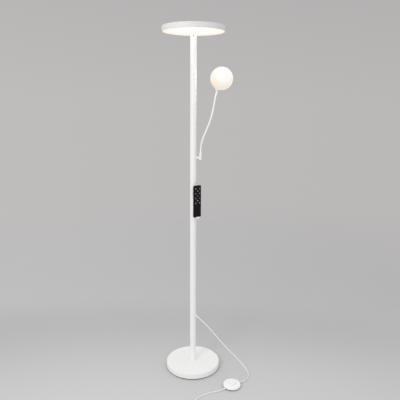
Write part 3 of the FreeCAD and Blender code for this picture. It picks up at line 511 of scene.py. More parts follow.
patterned(screws, ring_tree, {"Circle": screw_circle * mm, "Count": window_count, "First angle": first_window,
    "Material": zinc})
fitted(screws, "lamp", "zinc_steel", "base_screws")


# Pole: three drawn steel tubes that screw together end to end, powder coated white, each end
# broken so that the joints show as fine lines. The lowest is bolted down through the base.
tube_wall = 1.2
joint_break = 0.35
pole_top = 1763.5
lower_joint = 620.0
upper_joint = 1211.0
grub_height = 1756.0
grub_hole_radius = 2.6


def tube_between(low, high, name, node, cut=None):
    """A length of the pole between two heights, its ends broken."""
    spun([(pole_radius - tube_wall, low, 0), (pole_radius, low, joint_break), (pole_radius, high, joint_break),
        (pole_radius - tube_wall, high, 0)], 3, 72, name, white_coat, "white_paint", node, cut=cut)


tube_between(base_height - cover_sheet, lower_joint, "pole_tube_lower", "pole_lower")
tube_between(lower_joint, upper_joint, "pole_tube_middle", "pole_middle")
screw_hole = turned([(0, 0), (grub_hole_radius, 0), (grub_hole_radius, pole_radius), (0, pole_radius)], 24)
screw_hole.transform(facing((0, -pole_radius / 2, grub_height), (0, -1, 0)))
tube_between(upper_joint, pole_top, "pole_tube_upper", "pole_upper", screw_hole)

lead_skin = surface("lead_skin", (0.80, 0.80, 0.79), 0.5, [("noise", 400.0, 0.03, 0.1, 1.0)], bump=0.1)
casing = surface("driver_casing", (0.78, 0.78, 0.76), 0.55, [("noise", 900.0, 0.03, 0.08, 1.0)], bump=0.15)
coated("pole_couplers", zinc)
coated("inner_leads", lead_skin)
coated("led_driver", casing)


# Cord exit: a moulded white strain relief pressed into the pole low on its right. It slopes down
# and tapers, with grooves all round so that it bends with the cord.
soft_vinyl = surface("soft_white_vinyl", (0.84, 0.84, 0.835), 0.42,
    [("noise", 60.0, 0.02, 0.10, 0.0), ("noise", 1200.0, 0.0, 0.06, 1.0)], bump=0.10, distance=0.0002)
exit_height = 302.0
exit_azimuth = math.radians(-11.6)
exit_slope = math.radians(40)
relief_length = 22.0
relief_root = 6.0
relief_tip = 3.2
relief_sunk = 3.0
groove_pitch = 3.0
groove_width = 1.5
cord_bore = 2.45
outward = Vector((*polar(math.cos(exit_slope), exit_azimuth), -math.sin(exit_slope)))
cord_mouth = Vector((*polar(pole_radius, exit_azimuth), exit_height))


def grooved_cone(root, tip, bottom, length, first_groove, depth):
    """Profile of a tapered relief with a row of grooves, from its root at bottom to its tip."""
    profile = [(0, bottom), (root, bottom)]
    place = first_groove
    while place + groove_width < length - 1.2:
        for along, sink in ((0.0, 0.0), (0.22, 1.0), (0.78, 1.0), (1.0, 0.0)):
            at = place + groove_width * along
            profile.append((root + (tip - root) * at / length - depth * sink, bottom + at))
        place += groove_pitch
    top = bottom + length
    return profile + [(tip + 0.25, top - 0.5), (tip, top), (cord_bore, top), (0, top)]


exit_profile = grooved_cone(relief_root, relief_tip, -relief_sunk, relief_length + relief_sunk, 7.0, 0.55)
exit_relief = finished(turned(exit_profile, 40), "cord_exit_relief", [soft_vinyl], crease=50.0,
    stand=facing(cord_mouth, outward))
fitted(exit_relief, "lamp", "cord_white", "cord_bushing")


# Head: a flat round housing spun from aluminium and powder coated white, closed below by an opal
# acrylic lens that the board of lamps lights evenly, set on the pole by a collar and a grub screw.
head_radius = 153.5
head_top = 1800.0
head_bottom = 1775.5
head_corner = 2.5
rim_wall = 3.0
top_wall = 2.0
boss_radius = 36.0
boss_bottom = 1794.0
lens_face = 1776.5
lens_wall = 2.5
lens_skirt = 1.6
lens_hole = 16.4
lens_radius = head_radius - rim_wall - 0.1
head_light_power = 0.13
head_light_tint = (1.0, 0.91, 0.80)
collar_bore = 4.0
spigot_radius = 14.75
spigot_length = 28.0
flange_radius = 33.0
flange_bottom = 1790.5

# Painted shade: the head wears the pole's white powder coat, coloured darker here to paint the dimmer light on
# the head.
head_coat_painted_shade = surface("white_coat_darkened_as_painted_shade", (0.742, 0.742, 0.737), 0.50,
    [("noise", 700.0, 0.0, 0.0, 1.0), ("noise", 9.0, 0.02, 0.10, 0.0)], bump=0.14, distance=0.0003)
roof = head_top - top_wall
spun([(0, head_top, 0), (head_radius, head_top, head_corner), (head_radius, head_bottom, 0.8),
    (head_radius - rim_wall, head_bottom, 0.3), (head_radius - rim_wall, roof, 0), (boss_radius, roof, 0),
    (boss_radius, boss_bottom, 0), (0, boss_bottom, 0)], 6, 200, "head_housing_shell", head_coat_painted_shade,
    "white_paint", "head_housing")


def glowing(name, stops, strength, grain, roughness, **radial):
    """Opal material lit from behind, its light running through stops over a distance in metres."""
    material = bpy.data.materials.new(name)
    tree = node_tree_of(material)
    place = add(tree, "TexCoord")
    centre = add(tree, "Mapping", vector_type="POINT", **radial)
    span = add(tree, "VectorMath", operation="LENGTH")
    tones = ramp(tree, stops)
    cloud = add(tree, "TexNoise", Scale=grain, Detail=2.0)
    cloudy = add(tree, "Mix", data_type="RGBA", blend_type="MULTIPLY", in_0=0.04)
    shader = add(tree, "BsdfPrincipled", Roughness=roughness, Emission_Strength=strength,
        Base_Color=(0.22, 0.21, 0.20, 1))
    fine = add(tree, "TexNoise", Scale=1500.0, Detail=2.0)
    raised = add(tree, "Bump", Strength=0.05, Distance=0.0002)
    out = add(tree, "OutputMaterial")
    join(tree, (place, "Object", centre, "Vector"), (centre, 0, span, 0), (span, "Value", tones, "Fac"),
        (place, "Object", cloud, "Vector"), (tones, "Color", cloudy, 6), (cloud, "Fac", cloudy, 7),
        (cloudy, 2, shader, "Emission Color"), (place, "Object", fine, "Vector"),
        (fine, "Fac", raised, "Height"), (raised, 0, shader, "Normal"), (shader, 0, out, "Surface"))
    return material


lit_lens = glowing("lit_opal_lens", [(0.0, (1.0, 0.99, 0.955)), (0.45, (1.0, 0.99, 0.955)),
    (0.60, (0.995, 0.95, 0.875)), (0.75, (0.99, 0.89, 0.77)), (0.90, (0.97, 0.83, 0.70)),
    (1.0, (0.95, 0.79, 0.65))], 0.83, 30.0, 0.45, Location=(0.0, 0.15, 0.0), Scale=(5.0, 5.0, 0.0))
spun([(lens_hole, lens_face, 0.4), (lens_radius, lens_face, 0.5), (lens_radius, roof, 0),
    (lens_radius - lens_skirt, roof, 0), (lens_radius - lens_skirt, lens_face + lens_wall, 0),
    (lens_hole, lens_face + lens_wall, 0)], 4, 200, "head_lens", lit_lens, "head_opal", "head_diffuser")
light_at("head_light", "AREA", head_light_power, (0, 0, (lens_face - 0.5) * mm), shape="DISK",
    size=2 * (head_radius - rim_wall) * mm, color=head_light_tint)

board_white = surface("board_white", (0.85, 0.85, 0.83), 0.45, [("noise", 500.0, 0.05, 0.1, 1.0)], bump=0.1)
coated("led_board", board_white)
coated("head_screws", zinc)
coated("head_set_screw", dark_steel)

spun([(collar_bore, pole_top - spigot_length, 0), (spigot_radius, pole_top - spigot_length, 0.4),
    (spigot_radius, pole_top, 0), (pole_radius, pole_top, 0.5), (pole_radius, flange_bottom, 0),
    (flange_radius, flange_bottom, 0), (flange_radius, boss_bottom, 0), (collar_bore, boss_bottom, 0)], 4, 72,
    "head_collar", white_coat, "white_paint", "head_hub")


# Reading arm: a turned stub screwed through the pole's wall on the right, and on its end an upright
# ferrule that holds the gooseneck. Both are steel, powder coated white like the pole.
arm_height = 1167.0
stub_start = 14.0
stub_radius = 5.3
stub_end = 32.2
stub_collar_radius = 7.5
stub_collar_end = 19.0
ferrule_offset = 37.0
ferrule_radius = 6.7
ferrule_bottom = 1155.0
ferrule_top = 1192.0
groove_height = ferrule_top - 5.0
groove_floor = ferrule_radius - 0.35
neck_radius = 4.3
neck_hole = neck_radius + 0.1
neck_hole_bottom = ferrule_bottom + 10.0

inside_pole = turned([(0, arm_height - 20), (pole_radius - 0.05, arm_height - 20),
    (pole_radius - 0.05, arm_height + 20), (0, arm_height + 20)], 96)
spun([(0, stub_start, 0), (stub_collar_radius, stub_start, 0), (stub_collar_radius, stub_collar_end, 0.7),
    (stub_radius, stub_collar_end, 0.3), (stub_radius, stub_end, 0.3), (0, stub_end, 0)], 4, 48,
    "arm_stub_turned", white_coat, "white_paint", "arm_stub", stand=facing((0, 0, arm_height), (1, 0, 0)),
    cut=inside_pole)
coated("arm_nut", zinc)

spun([(0, ferrule_bottom, 0), (ferrule_radius, ferrule_bottom, 4.0),
    (ferrule_radius, groove_height - 0.6, 0.2), (groove_floor, groove_height - 0.3, 0.1),
    (groove_floor, groove_height + 0.3, 0.1), (ferrule_radius, groove_height + 0.6, 0.2),
    (ferrule_radius, ferrule_top, 1.2), (neck_hole, ferrule_top, 0.3), (neck_hole, neck_hole_bottom, 0),
    (0, neck_hole_bottom, 0)], 6, 48, "arm_ferrule_turned", white_coat, "white_paint", "arm_ferrule",
    stand=Matrix.Translation((ferrule_offset * mm, 0, 0)))


# Gooseneck: steel strip wound into a flexible tube with a white sleeve that shows its turns as
# fine rings. It bends anywhere; here it is drawn as five lengths laid end to end along its bent line.
neck_runs = ((98.0, 24.0), (27.0, 0.0), (111.0, -14.5), (43.0, 0.0), (26.0, 9.5), (12.0, 0.0))
neck_length = 317.0
sleeve_radius = neck_radius - 0.11
ring_pitch = 3.17
ring_swell = 0.08
steps_each_ring = 6.0
bend_half_length = 26.0
root_hidden = 10.0
tip_hidden = 8.0
line_steps = 64
neck_sleeve = surface("white_neck_sleeve", (0.87, 0.87, 0.865), 0.45,
    [("noise", 1500.0, 0.02, 0.1, 1.0), ("noise", 30.0, 0.03, 0.1, 0.0)], bump=0.12)


def neck_at(distance):
    """Place in millimetres and direction of the gooseneck's centre line, at a distance from the ferrule."""
    x, z, lean = ferrule_offset, ferrule_top, 0.0
    for run, turn in neck_runs:
        step = min(run, distance)
        bend = math.radians(turn) * step / run
        if turn:
            radius = run / math.radians(turn)
            x += radius * (math.cos(lean) - math.cos(lean + bend))
            z += radius * (math.sin(lean + bend) - math.sin(lean))
        else:
            x += step * math.sin(lean)
            z += step * math.cos(lean)
        lean += bend
        distance -= step
        if distance <= 0:
            break
    return Vector((x, 0, z)), Vector((math.sin(lean), 0, math.cos(lean)))


sleeve_tree, start = geometry_tree("ringed_sleeve",
    [("Radius", 0.004), ("Ring pitch", 0.003), ("Ring swell", 0.0001)])
line = add(sleeve_tree, "GeometryNodeMeshToCurve")
walked = add(sleeve_tree, "GeometryNodeSplineParameter")
turns = add(sleeve_tree, "Math", operation="DIVIDE")
phase = add(sleeve_tree, "Math", operation="MULTIPLY", in_1=2 * math.pi)
wave = add(sleeve_tree, "Math", operation="COSINE")
ring = add(sleeve_tree, "Math", operation="MULTIPLY")
thick = add(sleeve_tree, "Math", operation="SUBTRACT")
step_length = add(sleeve_tree, "Math", operation="DIVIDE", in_1=steps_each_ring)
fine_steps = add(sleeve_tree, "GeometryNodeResampleCurve", mode="LENGTH")
section = add(sleeve_tree, "GeometryNodeCurvePrimitiveCircle", mode="RADIUS", Resolution=20, Radius=1.0)
sweep = add(sleeve_tree, "GeometryNodeCurveToMesh", Fill_Caps=True)
smooth = add(sleeve_tree, "GeometryNodeSetShadeSmooth")
join(sleeve_tree, (start, "Geometry", line, 0), (start, "Ring pitch", step_length, 0),
    (line, 0, fine_steps, 0), (step_length, 0, fine_steps, "Length"), (walked, "Length", turns, 0),
    (start, "Ring pitch", turns, 1), (turns, 0, phase, 0), (phase, 0, wave, 0), (wave, 0, ring, 0),
    (start, "Ring swell", ring, 1), (start, "Radius", thick, 0), (ring, 0, thick, 1),
    (fine_steps, 0, sweep, "Curve"), (thick, 0, sweep, "Scale"), (section, 0, sweep, "Profile Curve"),
    (sweep, 0, smooth, 0))
ended(sleeve_tree, start, smooth)

piece_length = neck_length / 5
for number in range(5):
    low = piece_length * number - (root_hidden if number == 0 else 0.0)
    high = piece_length * (number + 1) + (tip_hidden if number == 4 else 0.0)
    points = []
    for step in range(line_steps + 1):
        distance = low + (high - low) * step / line_steps
        on_line = min(max(distance, 0.0), neck_length)
        point, way = neck_at(on_line)
        points.append((point + way * (distance - on_line)) * mm)
    line_mesh = bpy.data.meshes.new("neck_line")
    line_mesh.from_pydata(points, [(step, step + 1) for step in range(line_steps)], [])
    sleeve = placed("neck_sleeve_" + str(number + 1), line_mesh)
    patterned(sleeve, sleeve_tree, {"Radius": sleeve_radius * mm, "Ring pitch": ring_pitch * mm,
        "Ring swell": ring_swell * mm, "Material": neck_sleeve})
    hinge, way = neck_at(piece_length * (number + 0.5))
    reach = way * bend_half_length
    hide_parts("neck_link_" + str(number + 1))
    if number == 4:
        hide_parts("neck_link_6")
    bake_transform(sleeve)


# Reading light: a small turned cup crimped on the gooseneck's end, a porcelain holder with a
# frosted bulb on it, and a blown opal glass globe that sits on the cup.
neck_tip, light_way = neck_at(neck_length)
on_neck = facing(neck_tip, light_way)
cup_radius = 15.0
cup_hole = 12.6
cup_floor = 8.0
sleeve_outside = 6.0
sleeve_length = 12.0
globe_radius = 55.8
globe_wall = 2.5
globe_stand = 65.3
globe_mouth = 12.8
globe_seat = globe_stand - math.sqrt(globe_radius ** 2 - globe_mouth ** 2) - 0.05
globe_steps = 64
glow_offset = Vector((0.012, 0.0, 0.016))
glow_scale = Vector((12.0, 3.6, 12.0))
globe_light_power = 0.34
globe_light_tint = (1.0, 0.95, 0.88)
globe_light_radius = globe_radius + 1.5

cup = spun([(0, 0, 0), (neck_hole, 0, 0), (neck_hole, -sleeve_length, 0.2),
    (sleeve_outside, -sleeve_length, 0.6), (sleeve_outside, 0, 0.8), (9.0, 2.5, 1.0), (cup_radius, 7.0, 1.2),
    (cup_radius, globe_seat, 0.4), (cup_hole, globe_seat, 0.2), (cup_hole, cup_floor, 0), (0, cup_floor, 0)],
    5, 64, "socket_cup_turned", white_coat, "white_paint", "socket_cup", "reading_light", on_neck)

porcelain = surface("white_porcelain", (0.86, 0.86, 0.84), 0.15, [("noise", 200.0, 0.03, 0.05, 1.0)], bump=0.05)
lit_bulb = glowing("lit_frosted_bulb", [(0.0, (1.0, 0.93, 0.82)), (1.0, (1.0, 0.90, 0.76))], 1.0, 200.0, 0.5,
    Scale=(4.0, 4.0, 4.0))
coated("lamp_holder", porcelain)
coated("bulb", lit_bulb)

globe_centre = (neck_tip + light_way * globe_stand) * mm
lit_globe = glowing("lit_opal_glass", [(0.0, (1.0, 0.99, 0.97)), (0.40, (1.0, 0.975, 0.93)),
    (0.54, (0.95, 0.90, 0.83)), (0.80, (0.93, 0.80, 0.67)), (0.92, (0.80, 0.67, 0.55))], 0.80, 18.0, 0.18,
    Location=tuple(-(globe_centre + glow_offset) * glow_scale), Scale=tuple(glow_scale))
globe_profile = []
for radius, side in ((globe_radius, 1), (globe_radius - globe_wall, -1)):
    mouth_angle = math.asin(globe_mouth / radius)
    wall = []
    for step in range(globe_steps):
        angle = mouth_angle + (math.pi - mouth_angle) * step / globe_steps
        wall.append((radius * math.sin(angle), globe_stand - radius * math.cos(angle)))
    globe_profile += (wall + [(0.0, globe_stand + radius)])[::side]
globe = finished(turned(globe_profile, 96), "globe_blown", [lit_globe], stand=on_neck)
fitted(globe, "reading_light", "globe_opal", "globe")
globe_light = light_at("globe_light", "POINT", globe_light_power, globe_centre, color=globe_light_tint,
    shadow_soft_size=globe_light_radius * mm)
unlit = bpy.data.collections.new("not_lit_by_globe_light")
for piece in (globe, cup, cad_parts["bulb"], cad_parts["lamp_holder"]):
    unlit.objects.link(piece)
for member in unlit.collection_objects:
    member.light_linking.link_state = "EXCLUDE"
globe_light.light_linking.receiver_collection = unlit
globe_light.light_linking.blocker_collection = unlit


# Remote control: a slim black handset of two moulded shells with eleven round rubber keys. It
# stands in a white cradle that is bonded to the pole and turned a little to the right.
remote_turn = math.radians(38)
remote_width = 45.6
remote_bottom = 862.0
remote_top = 1028.5
remote_corner = 6.0
remote_front = 37.8
remote_split = 32.4
remote_back = 28.8
key_radius = 3.7
key_hole_radius = 3.9
key_proud = 0.8
key_column = 12.3
key_row = 25.0
key_first_row = 16.0
key_sides = 36
key_flange_radius = 4.7
key_flange_top = -1.25
key_flange_wall = 0.8
mark_height = 0.06
mark_sunk = 0.16
mark_reach = 2.5
mark_width = 1.2
thin_mark = 0.85
ring_reach = 2.1

on_pole = Matrix.Rotation(remote_turn, 4, "Z")
handset_black = surface("matt_black_plastic", (0.0045, 0.0045, 0.005), 0.40,
    [("cells", 2200.0, 0.0, 0.0, 1.0), ("noise", 40.0, 0.3, 0.12, 0.0)], bump=0.10, distance=0.0002,
    Specular_IOR_Level=0.17)
key_rubber = surface("dark_key_rubber", (0.011, 0.011, 0.0115), 0.55, [("noise", 1800.0, 0.2, 0.08, 1.0)],
    bump=0.15, distance=0.0001, Specular_IOR_Level=0.25)
mark_ink = surface("pale_mark_ink", (0.88, 0.88, 0.88), 0.55, [("noise", 2500.0, 0.15, 0.1, 1.0)], bump=0.05)
white_mould = surface("white_moulded_plastic", (0.90, 0.90, 0.895), 0.40,
    [("cells", 1800.0, 0.0, 0.0, 1.0), ("noise", 14.0, 0.02, 0.10, 0.0)], bump=0.08, distance=0.0002)
board_green = surface("green_board", (0.04, 0.18, 0.08), 0.35, [("cells", 260.0, 0.5, 0.2, 1.0)], bump=0.2)


def ahead(shape, across, out, up):
    """A new point of a shape at millimetres across, out in front of the pole's axis and up."""
    return shape.verts.new((across * mm, -out * mm, up * mm))


def layered(width, bottom, top, corner, layers, arc=6):
    """Closed block facing -Y from outlines inset by layers of (inset, distance in front of the axis)."""
    shape = bmesh.new()
    outlines = []
    for inset, distance in layers:
        ring = []
        radius = max(corner - inset, 0.05)
        side, high, low = width / 2 - inset - radius, top - inset - radius, bottom + inset + radius
        for cx, cz, first in ((side, high, 0), (-side, high, 90), (-side, low, 180), (side, low, 270)):
            for step in range(arc + 1):
                x, z = polar(radius, math.radians(first + 90 * step / arc))
                ring.append(ahead(shape, cx + x, distance, cz + z))
        outlines.append(ring)
    skinned(shape, outlines)
    return shape


def edge_layers(back, front, back_round, front_round, steps=4):
    """Insets that round a block's back and front edges."""
    angles = [math.pi / 2 * step / steps for step in range(steps + 1)]
    return ([(back_round * (1 - math.sin(a)), back + back_round * (1 - math.cos(a))) for a in angles]
        + [(front_round * (1 - math.cos(a)), front - front_round * (1 - math.sin(a))) for a in angles])


first_row = remote_top - key_first_row
key_places = []
for row in range(4):
    for side, across in (("left_", -key_column), ("right_", key_column)):
        key_places.append((side + str(row + 1), across, first_row - row * key_row))
for row in range(3):
    key_places.append(("middle_" + str(row + 1), 0.0, first_row - (row + 0.5) * key_row))

front_shell = finished(layered(remote_width, remote_bottom, remote_top, remote_corner,
    edge_layers(remote_split + 0.08, remote_front, 0.25, 1.6)), "remote_front_shell", [handset_black])
holes = bmesh.new()
for name, across, height in key_places:
    bmesh.ops.create_cone(holes, cap_ends=True, segments=40, radius1=key_hole_radius * mm,
        radius2=key_hole_radius * mm, depth=0.0025,
        matrix=Matrix.Translation((across * mm, -remote_front * mm, height * mm))
        @ Matrix.Rotation(math.radians(90), 4, "X"))
cut_away(front_shell, holes)
front_shell.data.transform(on_pole)
fitted(front_shell, "remote", "remote_black", "remote_shell")
back_shell = finished(layered(remote_width, remote_bottom, remote_top, remote_corner,
    edge_layers(remote_back, remote_split - 0.08, 1.2, 0.25)), "remote_back_shell", [handset_black],
    stand=on_pole)
fitted(back_shell, "remote", "remote_black", "remote_back")
coated("remote_board", board_green)


def stroke(shape, first, last, width, depth_at):
    """A thin raised bar between two (across, up) points on a key's face."""
    first, last = Vector(first), Vector(last)
    along = (last - first).normalized() * width / 2
    side = Vector((-along.y, along.x))
    corners = [first - along + side, first - along - side, last + along - side, last + along + side]
    ends = [[ahead(shape, c.x, depth_at + deep, c.y) for c in corners] for deep in (-mark_height, mark_height)]
    for face in skinned(shape, ends):
        face.material_index = 1


def ring_mark(shape, centre, radius, width, depth_at, first=0, last=360):
    """A raised ring or arc about a point, from one angle to another in degrees."""
    steps = int((last - first) / 10)
    whole = last - first == 360
    stations = []
    for step in range(steps if whole else steps + 1):
        ring = []
        for out, deep in ((-1, -1), (1, -1), (1, 1), (-1, 1)):
            x, z = polar(radius + out * width / 2, math.radians(first + (last - first) * step / steps))
            ring.append(ahead(shape, centre[0] + x, depth_at + deep * mark_height, centre[1] + z))
        stations.append(ring)
    for face in skinned(shape, stations, joined=whole):
        face.material_index = 1


marks = {"left_1": "power", "left_2": "minus", "left_3": "sun", "left_4": "ring", "middle_1": "plus",
    "middle_2": "minus", "middle_3": "plus", "right_1": "sun", "right_2": "plus", "right_3": "minus",
    "right_4": "bars"}
for name, across, height in key_places:
    key_shape = bmesh.new()
    rings = []
    for r, out_by in ((key_flange_radius, key_flange_top - key_flange_wall),
            (key_flange_radius, key_flange_top), (key_radius, key_flange_top), (key_radius, key_proud - 0.35),
            (key_radius - 0.1, key_proud - 0.1), (key_radius - 0.35, key_proud), (2.8, key_proud - 0.10),
            (1.4, key_proud - 0.22)):
        rings.append([])
        for s in range(key_sides):
            x, z = polar(r, 2 * math.pi * s / key_sides)
            rings[-1].append(ahead(key_shape, across + x, remote_front + out_by, height + z))
    skinned(key_shape, rings)
    mark_at = remote_front + key_proud - mark_sunk
    mark = marks[name]
    if mark in ("plus", "minus"):
        stroke(key_shape, (across - mark_reach, height), (across + mark_reach, height), mark_width, mark_at)
    if mark == "plus":
        for way in (-1, 1):
            stroke(key_shape, (across, height + way * mark_width), (across, height + way * mark_reach),
                mark_width, mark_at)
    elif mark == "bars":
        for shift in (-1.6, 0.0, 1.6):
            stroke(key_shape, (across - ring_reach, height + shift), (across + ring_reach, height + shift),
                thin_mark, mark_at)
    elif mark == "sun":
        ring_mark(key_shape, (across, height), 0.95, 0.75, mark_at)
        for ray in range(8):
            ends = [Vector((across, height)) + Vector(polar(reach, math.radians(45 * ray)))
                for reach in (1.95, 2.75)]
            stroke(key_shape, *ends, 0.6, mark_at)
    elif mark == "ring":
        ring_mark(key_shape, (across, height), ring_reach, thin_mark, mark_at)
    elif mark == "power":
        ring_mark(key_shape, (across, height), ring_reach, thin_mark, mark_at, 120, 420)
        stroke(key_shape, (across, height + 0.5), (across, height + 2.7), thin_mark, mark_at)
    key = finished(key_shape, "key_" + name + "_cap", [key_rubber, mark_ink], stand=on_pole)
    fitted(key, "key_" + name, "button_black", "key_" + name)

coated("remote_cradle", white_mould)


# Foot switch: a round white case of two moulded shells on the mains cord, with a broad push button
# that a foot presses. It lies on a dark rubber foot on the floor, to the right of the base; the foot's
# dark colour also paints the shade under the case.
switch_place = Vector((206.0, -197.0, 0.0))
switch_radius = 45.0
switch_wall = 1.8
switch_split = 9.0
split_gap = 0.12
foot_height = 4.4
foot_radius = 42.6
switch_side = 17.5
switch_top = 19.5
push_radius = 19.0
push_top = 22.0
push_flange_low = 13.6
push_flange_high = 15.6
push_flange_radius = push_radius + 2.5
push_stem = push_radius - 0.3
push_hole = push_radius + 0.6
on_floor = Matrix.Translation(switch_place * mm)
cord_in_azimuth = math.radians(31)
cord_out_azimuth = math.radians(216)
relief_height = 4.6

switch_inside = switch_radius - switch_wall
low_split = switch_split - split_gap
high_split = switch_split + split_gap
foot_top = foot_height - 0.02
inside_floor = foot_height + switch_wall
spun([(0, foot_height, 0), (switch_radius, foot_height, 1.5), (switch_radius, low_split, 0.3),
    (switch_inside, low_split, 0), (switch_inside, inside_floor, 0), (0, inside_floor, 0)], 5, 128,
    "switch_lower_shell", white_mould, "white_plastic", "switch_base", stand=on_floor)
# Partly painted shade: the foot's dark colour also stands for the shade under the case's edge.
spun([(0, 0, 0), (foot_radius, 0, 0.6), (foot_radius, foot_top, 0), (0, foot_top, 0)], 3, 96,
    "switch_rubber_foot", foam, "pad_foam", "switch_base", stand=on_floor)
spun([(switch_radius, high_split, 0.3), (switch_radius, switch_side, 7.0),
    (push_radius + 2.4, switch_top - 0.1, 0.5), (push_hole, switch_top, 0.5),
    (push_hole, switch_top - switch_wall, 0), (switch_inside, switch_side - switch_wall, 5.2),
    (switch_inside, high_split, 0)], 8, 128, "switch_upper_shell", white_mould, "white_plastic",
    "switch_shell", stand=on_floor)
spun([(0, push_flange_low, 0), (push_flange_radius, push_flange_low, 0),
    (push_flange_radius, push_flange_high, 0.3), (push_stem, push_flange_high, 0), (push_stem, push_top, 2.0),
    (14.0, push_top - 0.2, 3.0), (0, push_top - 0.6, 0)], 6, 96, "switch_push_button", white_mould,
    "white_plastic", "switch_button", "foot_button", on_floor)
coated("switch_module", casing)
spring_steel = surface("spring_steel", (0.55, 0.55, 0.56), 0.3, [("noise", 900.0, 0.1, 0.1, 1.0)], bump=0.05,
    Metallic=1.0)
coated("switch_spring", spring_steel)

for azimuth, side in ((cord_in_azimuth, "in"), (cord_out_azimuth, "out")):
    way = Vector((*polar(1, azimuth), 0))
    one = turned(grooved_cone(4.2, 3.0, -4.0, 24.0, 6.0, 0.45), 36)
    relief = finished(one, "switch_strain_relief_" + side, [soft_vinyl], crease=50.0,
        stand=facing(switch_place + way * switch_radius + Vector((0, 0, relief_height)), way))
    fitted(relief, "lamp", "white_plastic", "switch_reliefs")


# Mains cord: a round white vinyl lead, 5 mm thick. It leaves the pole low on the right, drops in a
# slack line to the floor, turns round into the foot switch and goes on to its plug.
cord_diameter = 5.0
cord_vinyl = surface("white_cord_vinyl", (0.84, 0.84, 0.835), 0.40,
    [("noise", 25.0, 0.03, 0.10, 0.0), ("noise", 900.0, 0.0, 0.06, 1.0)], bump=0.10, distance=0.0002)


def laid(name, points):
    """A round lead on a smooth spline whose control points are the route's points."""
    line = bpy.data.curves.new(name, "CURVE")
    line.dimensions = "3D"
    spline = line.splines.new("NURBS")
    spline.points.add(len(points) - 1)
    for point, place in zip(spline.points, points):
        point.co = tuple(Vector(place) * mm) + (1.0,)
    spline.order_u = 3
    spline.use_endpoint_u = True
    spline.resolution_u = 10
    line.resolution_u = 10
    line.bevel_depth = cord_diameter / 2 * mm
    line.bevel_resolution = 5
    line.use_fill_caps = True
    line.materials.append(cord_vinyl)
    return placed(name, line)


def at_switch(azimuth, distance):
    """A point at the relief's height, out from the middle of the foot switch."""
    return switch_place + Vector((*polar(distance, azimuth), relief_height))


relief_tip_at = cord_mouth + outward * relief_length
lead_in = laid("mains_lead_to_switch", [
    relief_tip_at, relief_tip_at + outward * 36.0, (103.0, -20.5, 220.5), (150.0, -29.0, 164.0),
    (194.8, -37.5, 116.5), (238.0, -46.0, 75.7), (272.0, -54.0, 40.0), (290.0, -60.5, 19.0),
    (302.0, -79.0, 3.2), (302.0, -104.0, 2.6), (295.0, -128.0, 2.6), at_switch(cord_in_azimuth, 85.0),
    at_switch(cord_in_azimuth, 65.0)])
fitted(lead_in, "lamp", "cord_white", "cord_to_switch")

coil_centre = Vector((30.0, -384.0, 0.0))
coil_inner = 19.5
coil_pitch = 5.5
coil_lower_turns = 3.5
coil_climb = 0.5
coil_turns = 7.25
coil_low = 3.45
coil_rise = 5.45
points_each_turn = 20
coil_approach = 18.0
coil_leaving = 5.0
plug_offset = (59.0, -6.1)
plug_height = 7.0
plug_heading = math.radians(-9)
route = [at_switch(cord_out_azimuth, 65.0), at_switch(cord_out_azimuth, 82.0), (112.0, -250.0, 2.6),
    (72.0, -268.0, 2.6), (44.5, -286.5, 2.6), (21.5, -311.0, 2.6), (0.0, -340.0, 3.0)]
coil_start_radius = coil_inner + coil_pitch * (coil_lower_turns + coil_climb / 2)
route.append((coil_centre.x - coil_start_radius, coil_centre.y + coil_approach, coil_low))
for step in range(int(coil_turns * points_each_turn) + 1):
    turn = step / points_each_turn
    radius = coil_inner + coil_pitch * abs(turn - coil_lower_turns - coil_climb / 2)
    share = min(max((turn - coil_lower_turns) / coil_climb, 0.0), 1.0)
    height = coil_low + coil_rise * share * share * (3 - 2 * share)
    route.append(coil_centre + Vector((*polar(radius, math.pi + 2 * math.pi * turn), height)))
coil_end = Vector(route[-1]) + Vector((coil_leaving, 0, 0))
plug_entry = Vector((coil_end.x + plug_offset[0], coil_end.y + plug_offset[1], plug_height))
plug_way = Vector((*polar(1, plug_heading), 0))
route += [coil_end + Vector((20.0, 0, 0)), plug_entry - plug_way * 19.0, plug_entry]
lead_out = laid("mains_lead_to_plug", route)
fitted(lead_out, "lamp", "cord_white", "cord_to_coil", "cord_coil", "cord_tail")


# Tie: a flat white strap round the coil's turns on the side towards the lamp. Its band is thin,
# with rounded edges, and lies close round the turns.
tie_low = 0.85
tie_high = 11.5
tie_corner = 3.0
tie_half_width = 3.0
tie_thickness = 0.55
tie_inner = coil_centre.y + coil_inner - 3.1
tie_outer = coil_centre.y + coil_inner + coil_pitch * 3.0 + 2.7
strap = bmesh.new()
rings = []
edge = tie_half_width - 0.3
for outset, half in ((0.0, edge), (0.0, -edge), (0.3, -tie_half_width), (tie_thickness, -edge),
        (tie_thickness, edge), (0.3, tie_half_width)):
    ring = []
    reach = tie_corner + outset
    for cy, cz, first in ((tie_outer - tie_corner, tie_high - tie_corner, 0),
            (tie_inner + tie_corner, tie_high - tie_corner, 90),
            (tie_inner + tie_corner, tie_low + tie_corner, 180),
            (tie_outer - tie_corner, tie_low + tie_corner, 270)):
        for step in range(7):
            y, z = polar(reach, math.radians(first + 15 * step))
            ring.append(strap.verts.new(((coil_centre.x + half) * mm, (cy + y) * mm, (cz + z) * mm)))
    rings.append(ring)
skinned(strap, rings, joined=True)
strap_white = surface("white_strap", (0.78, 0.78, 0.77), 0.5,
    [("noise", (2500.0, 300.0, 300.0), 0.05, 0.1, 1.0)], bump=0.3)
tie = finished(strap, "coil_strap", [strap_white])
fitted(tie, "lamp", "tie_white", "cord_tie")


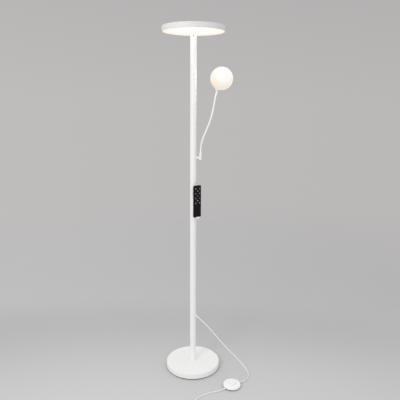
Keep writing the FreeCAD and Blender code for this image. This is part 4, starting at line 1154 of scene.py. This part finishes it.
# Plug: a flat two-pin plug moulded on the cord's end from the same soft vinyl, waisted for the
# fingers, with two plain nickel-plated pins of 4 mm that are held in the moulding.
on_plug = Matrix.Translation(plug_entry * mm) @ Matrix.Rotation(plug_heading, 4, "Z")
plug_length = 57.0
plug_sides = 40
oval_from = 18.0
oval_over = 12.0
oval_power = 1.6
pin_spread = 9.3
pin_radius = 2.0
pin_root = -6.0
pin_tip = 19.0
plug_shape = bmesh.new()
rings = []
for share, wide, thick in ((0.0, 3.2, 3.2), (0.30, 4.2, 4.2), (0.38, 5.6, 5.2), (0.46, 9.5, 6.2),
        (0.54, 12.6, 6.8), (0.62, 13.6, 6.9), (0.72, 13.9, 6.6), (0.82, 14.9, 6.8), (0.92, 16.8, 7.0),
        (0.985, 17.5, 7.0), (1.0, 17.0, 6.6)):
    along = share * plug_length
    power = 2.0 / (2.0 + oval_power * min(1.0, max(0.0, (along - oval_from) / oval_over)))
    ring = []
    for s in range(plug_sides):
        c, q = polar(1, 2 * math.pi * s / plug_sides)
        ring.append(plug_shape.verts.new((along * mm, wide * math.copysign(abs(c) ** power, c) * mm,
            thick * math.copysign(abs(q) ** power, q) * mm)))
    rings.append(ring)
skinned(plug_shape, rings)
plug = finished(plug_shape, "plug_moulding", [soft_vinyl], crease=45.0, stand=on_plug)
fitted(plug, "lamp", "cord_white", "plug_body")
nickel = surface("nickel_plate", (0.72, 0.70, 0.66), 0.22, [("noise", (900.0, 60.0, 60.0), 0.08, 0.1, 1.0)],
    bump=0.05, Metallic=1.0)
pin_shapes = bmesh.new()
pin_profile = rounded([(0, pin_root, 0), (pin_radius, pin_root, 0), (pin_radius, pin_tip, 1.9),
    (0, pin_tip, 0)], 8)
for side in (-pin_spread, pin_spread):
    one = turned(pin_profile, 28)
    one.transform(on_plug @ Matrix.Translation((plug_length * mm, side * mm, 0))
        @ Matrix.Rotation(math.radians(90), 4, "Y"))
    mesh = bpy.data.meshes.new("one_pin")
    one.to_mesh(mesh)
    one.free()
    pin_shapes.from_mesh(mesh)
    bpy.data.meshes.remove(mesh)
pins = finished(pin_shapes, "plug_pin_pair", [nickel])
fitted(pins, "lamp", "pin_nickel", "plug_pins")
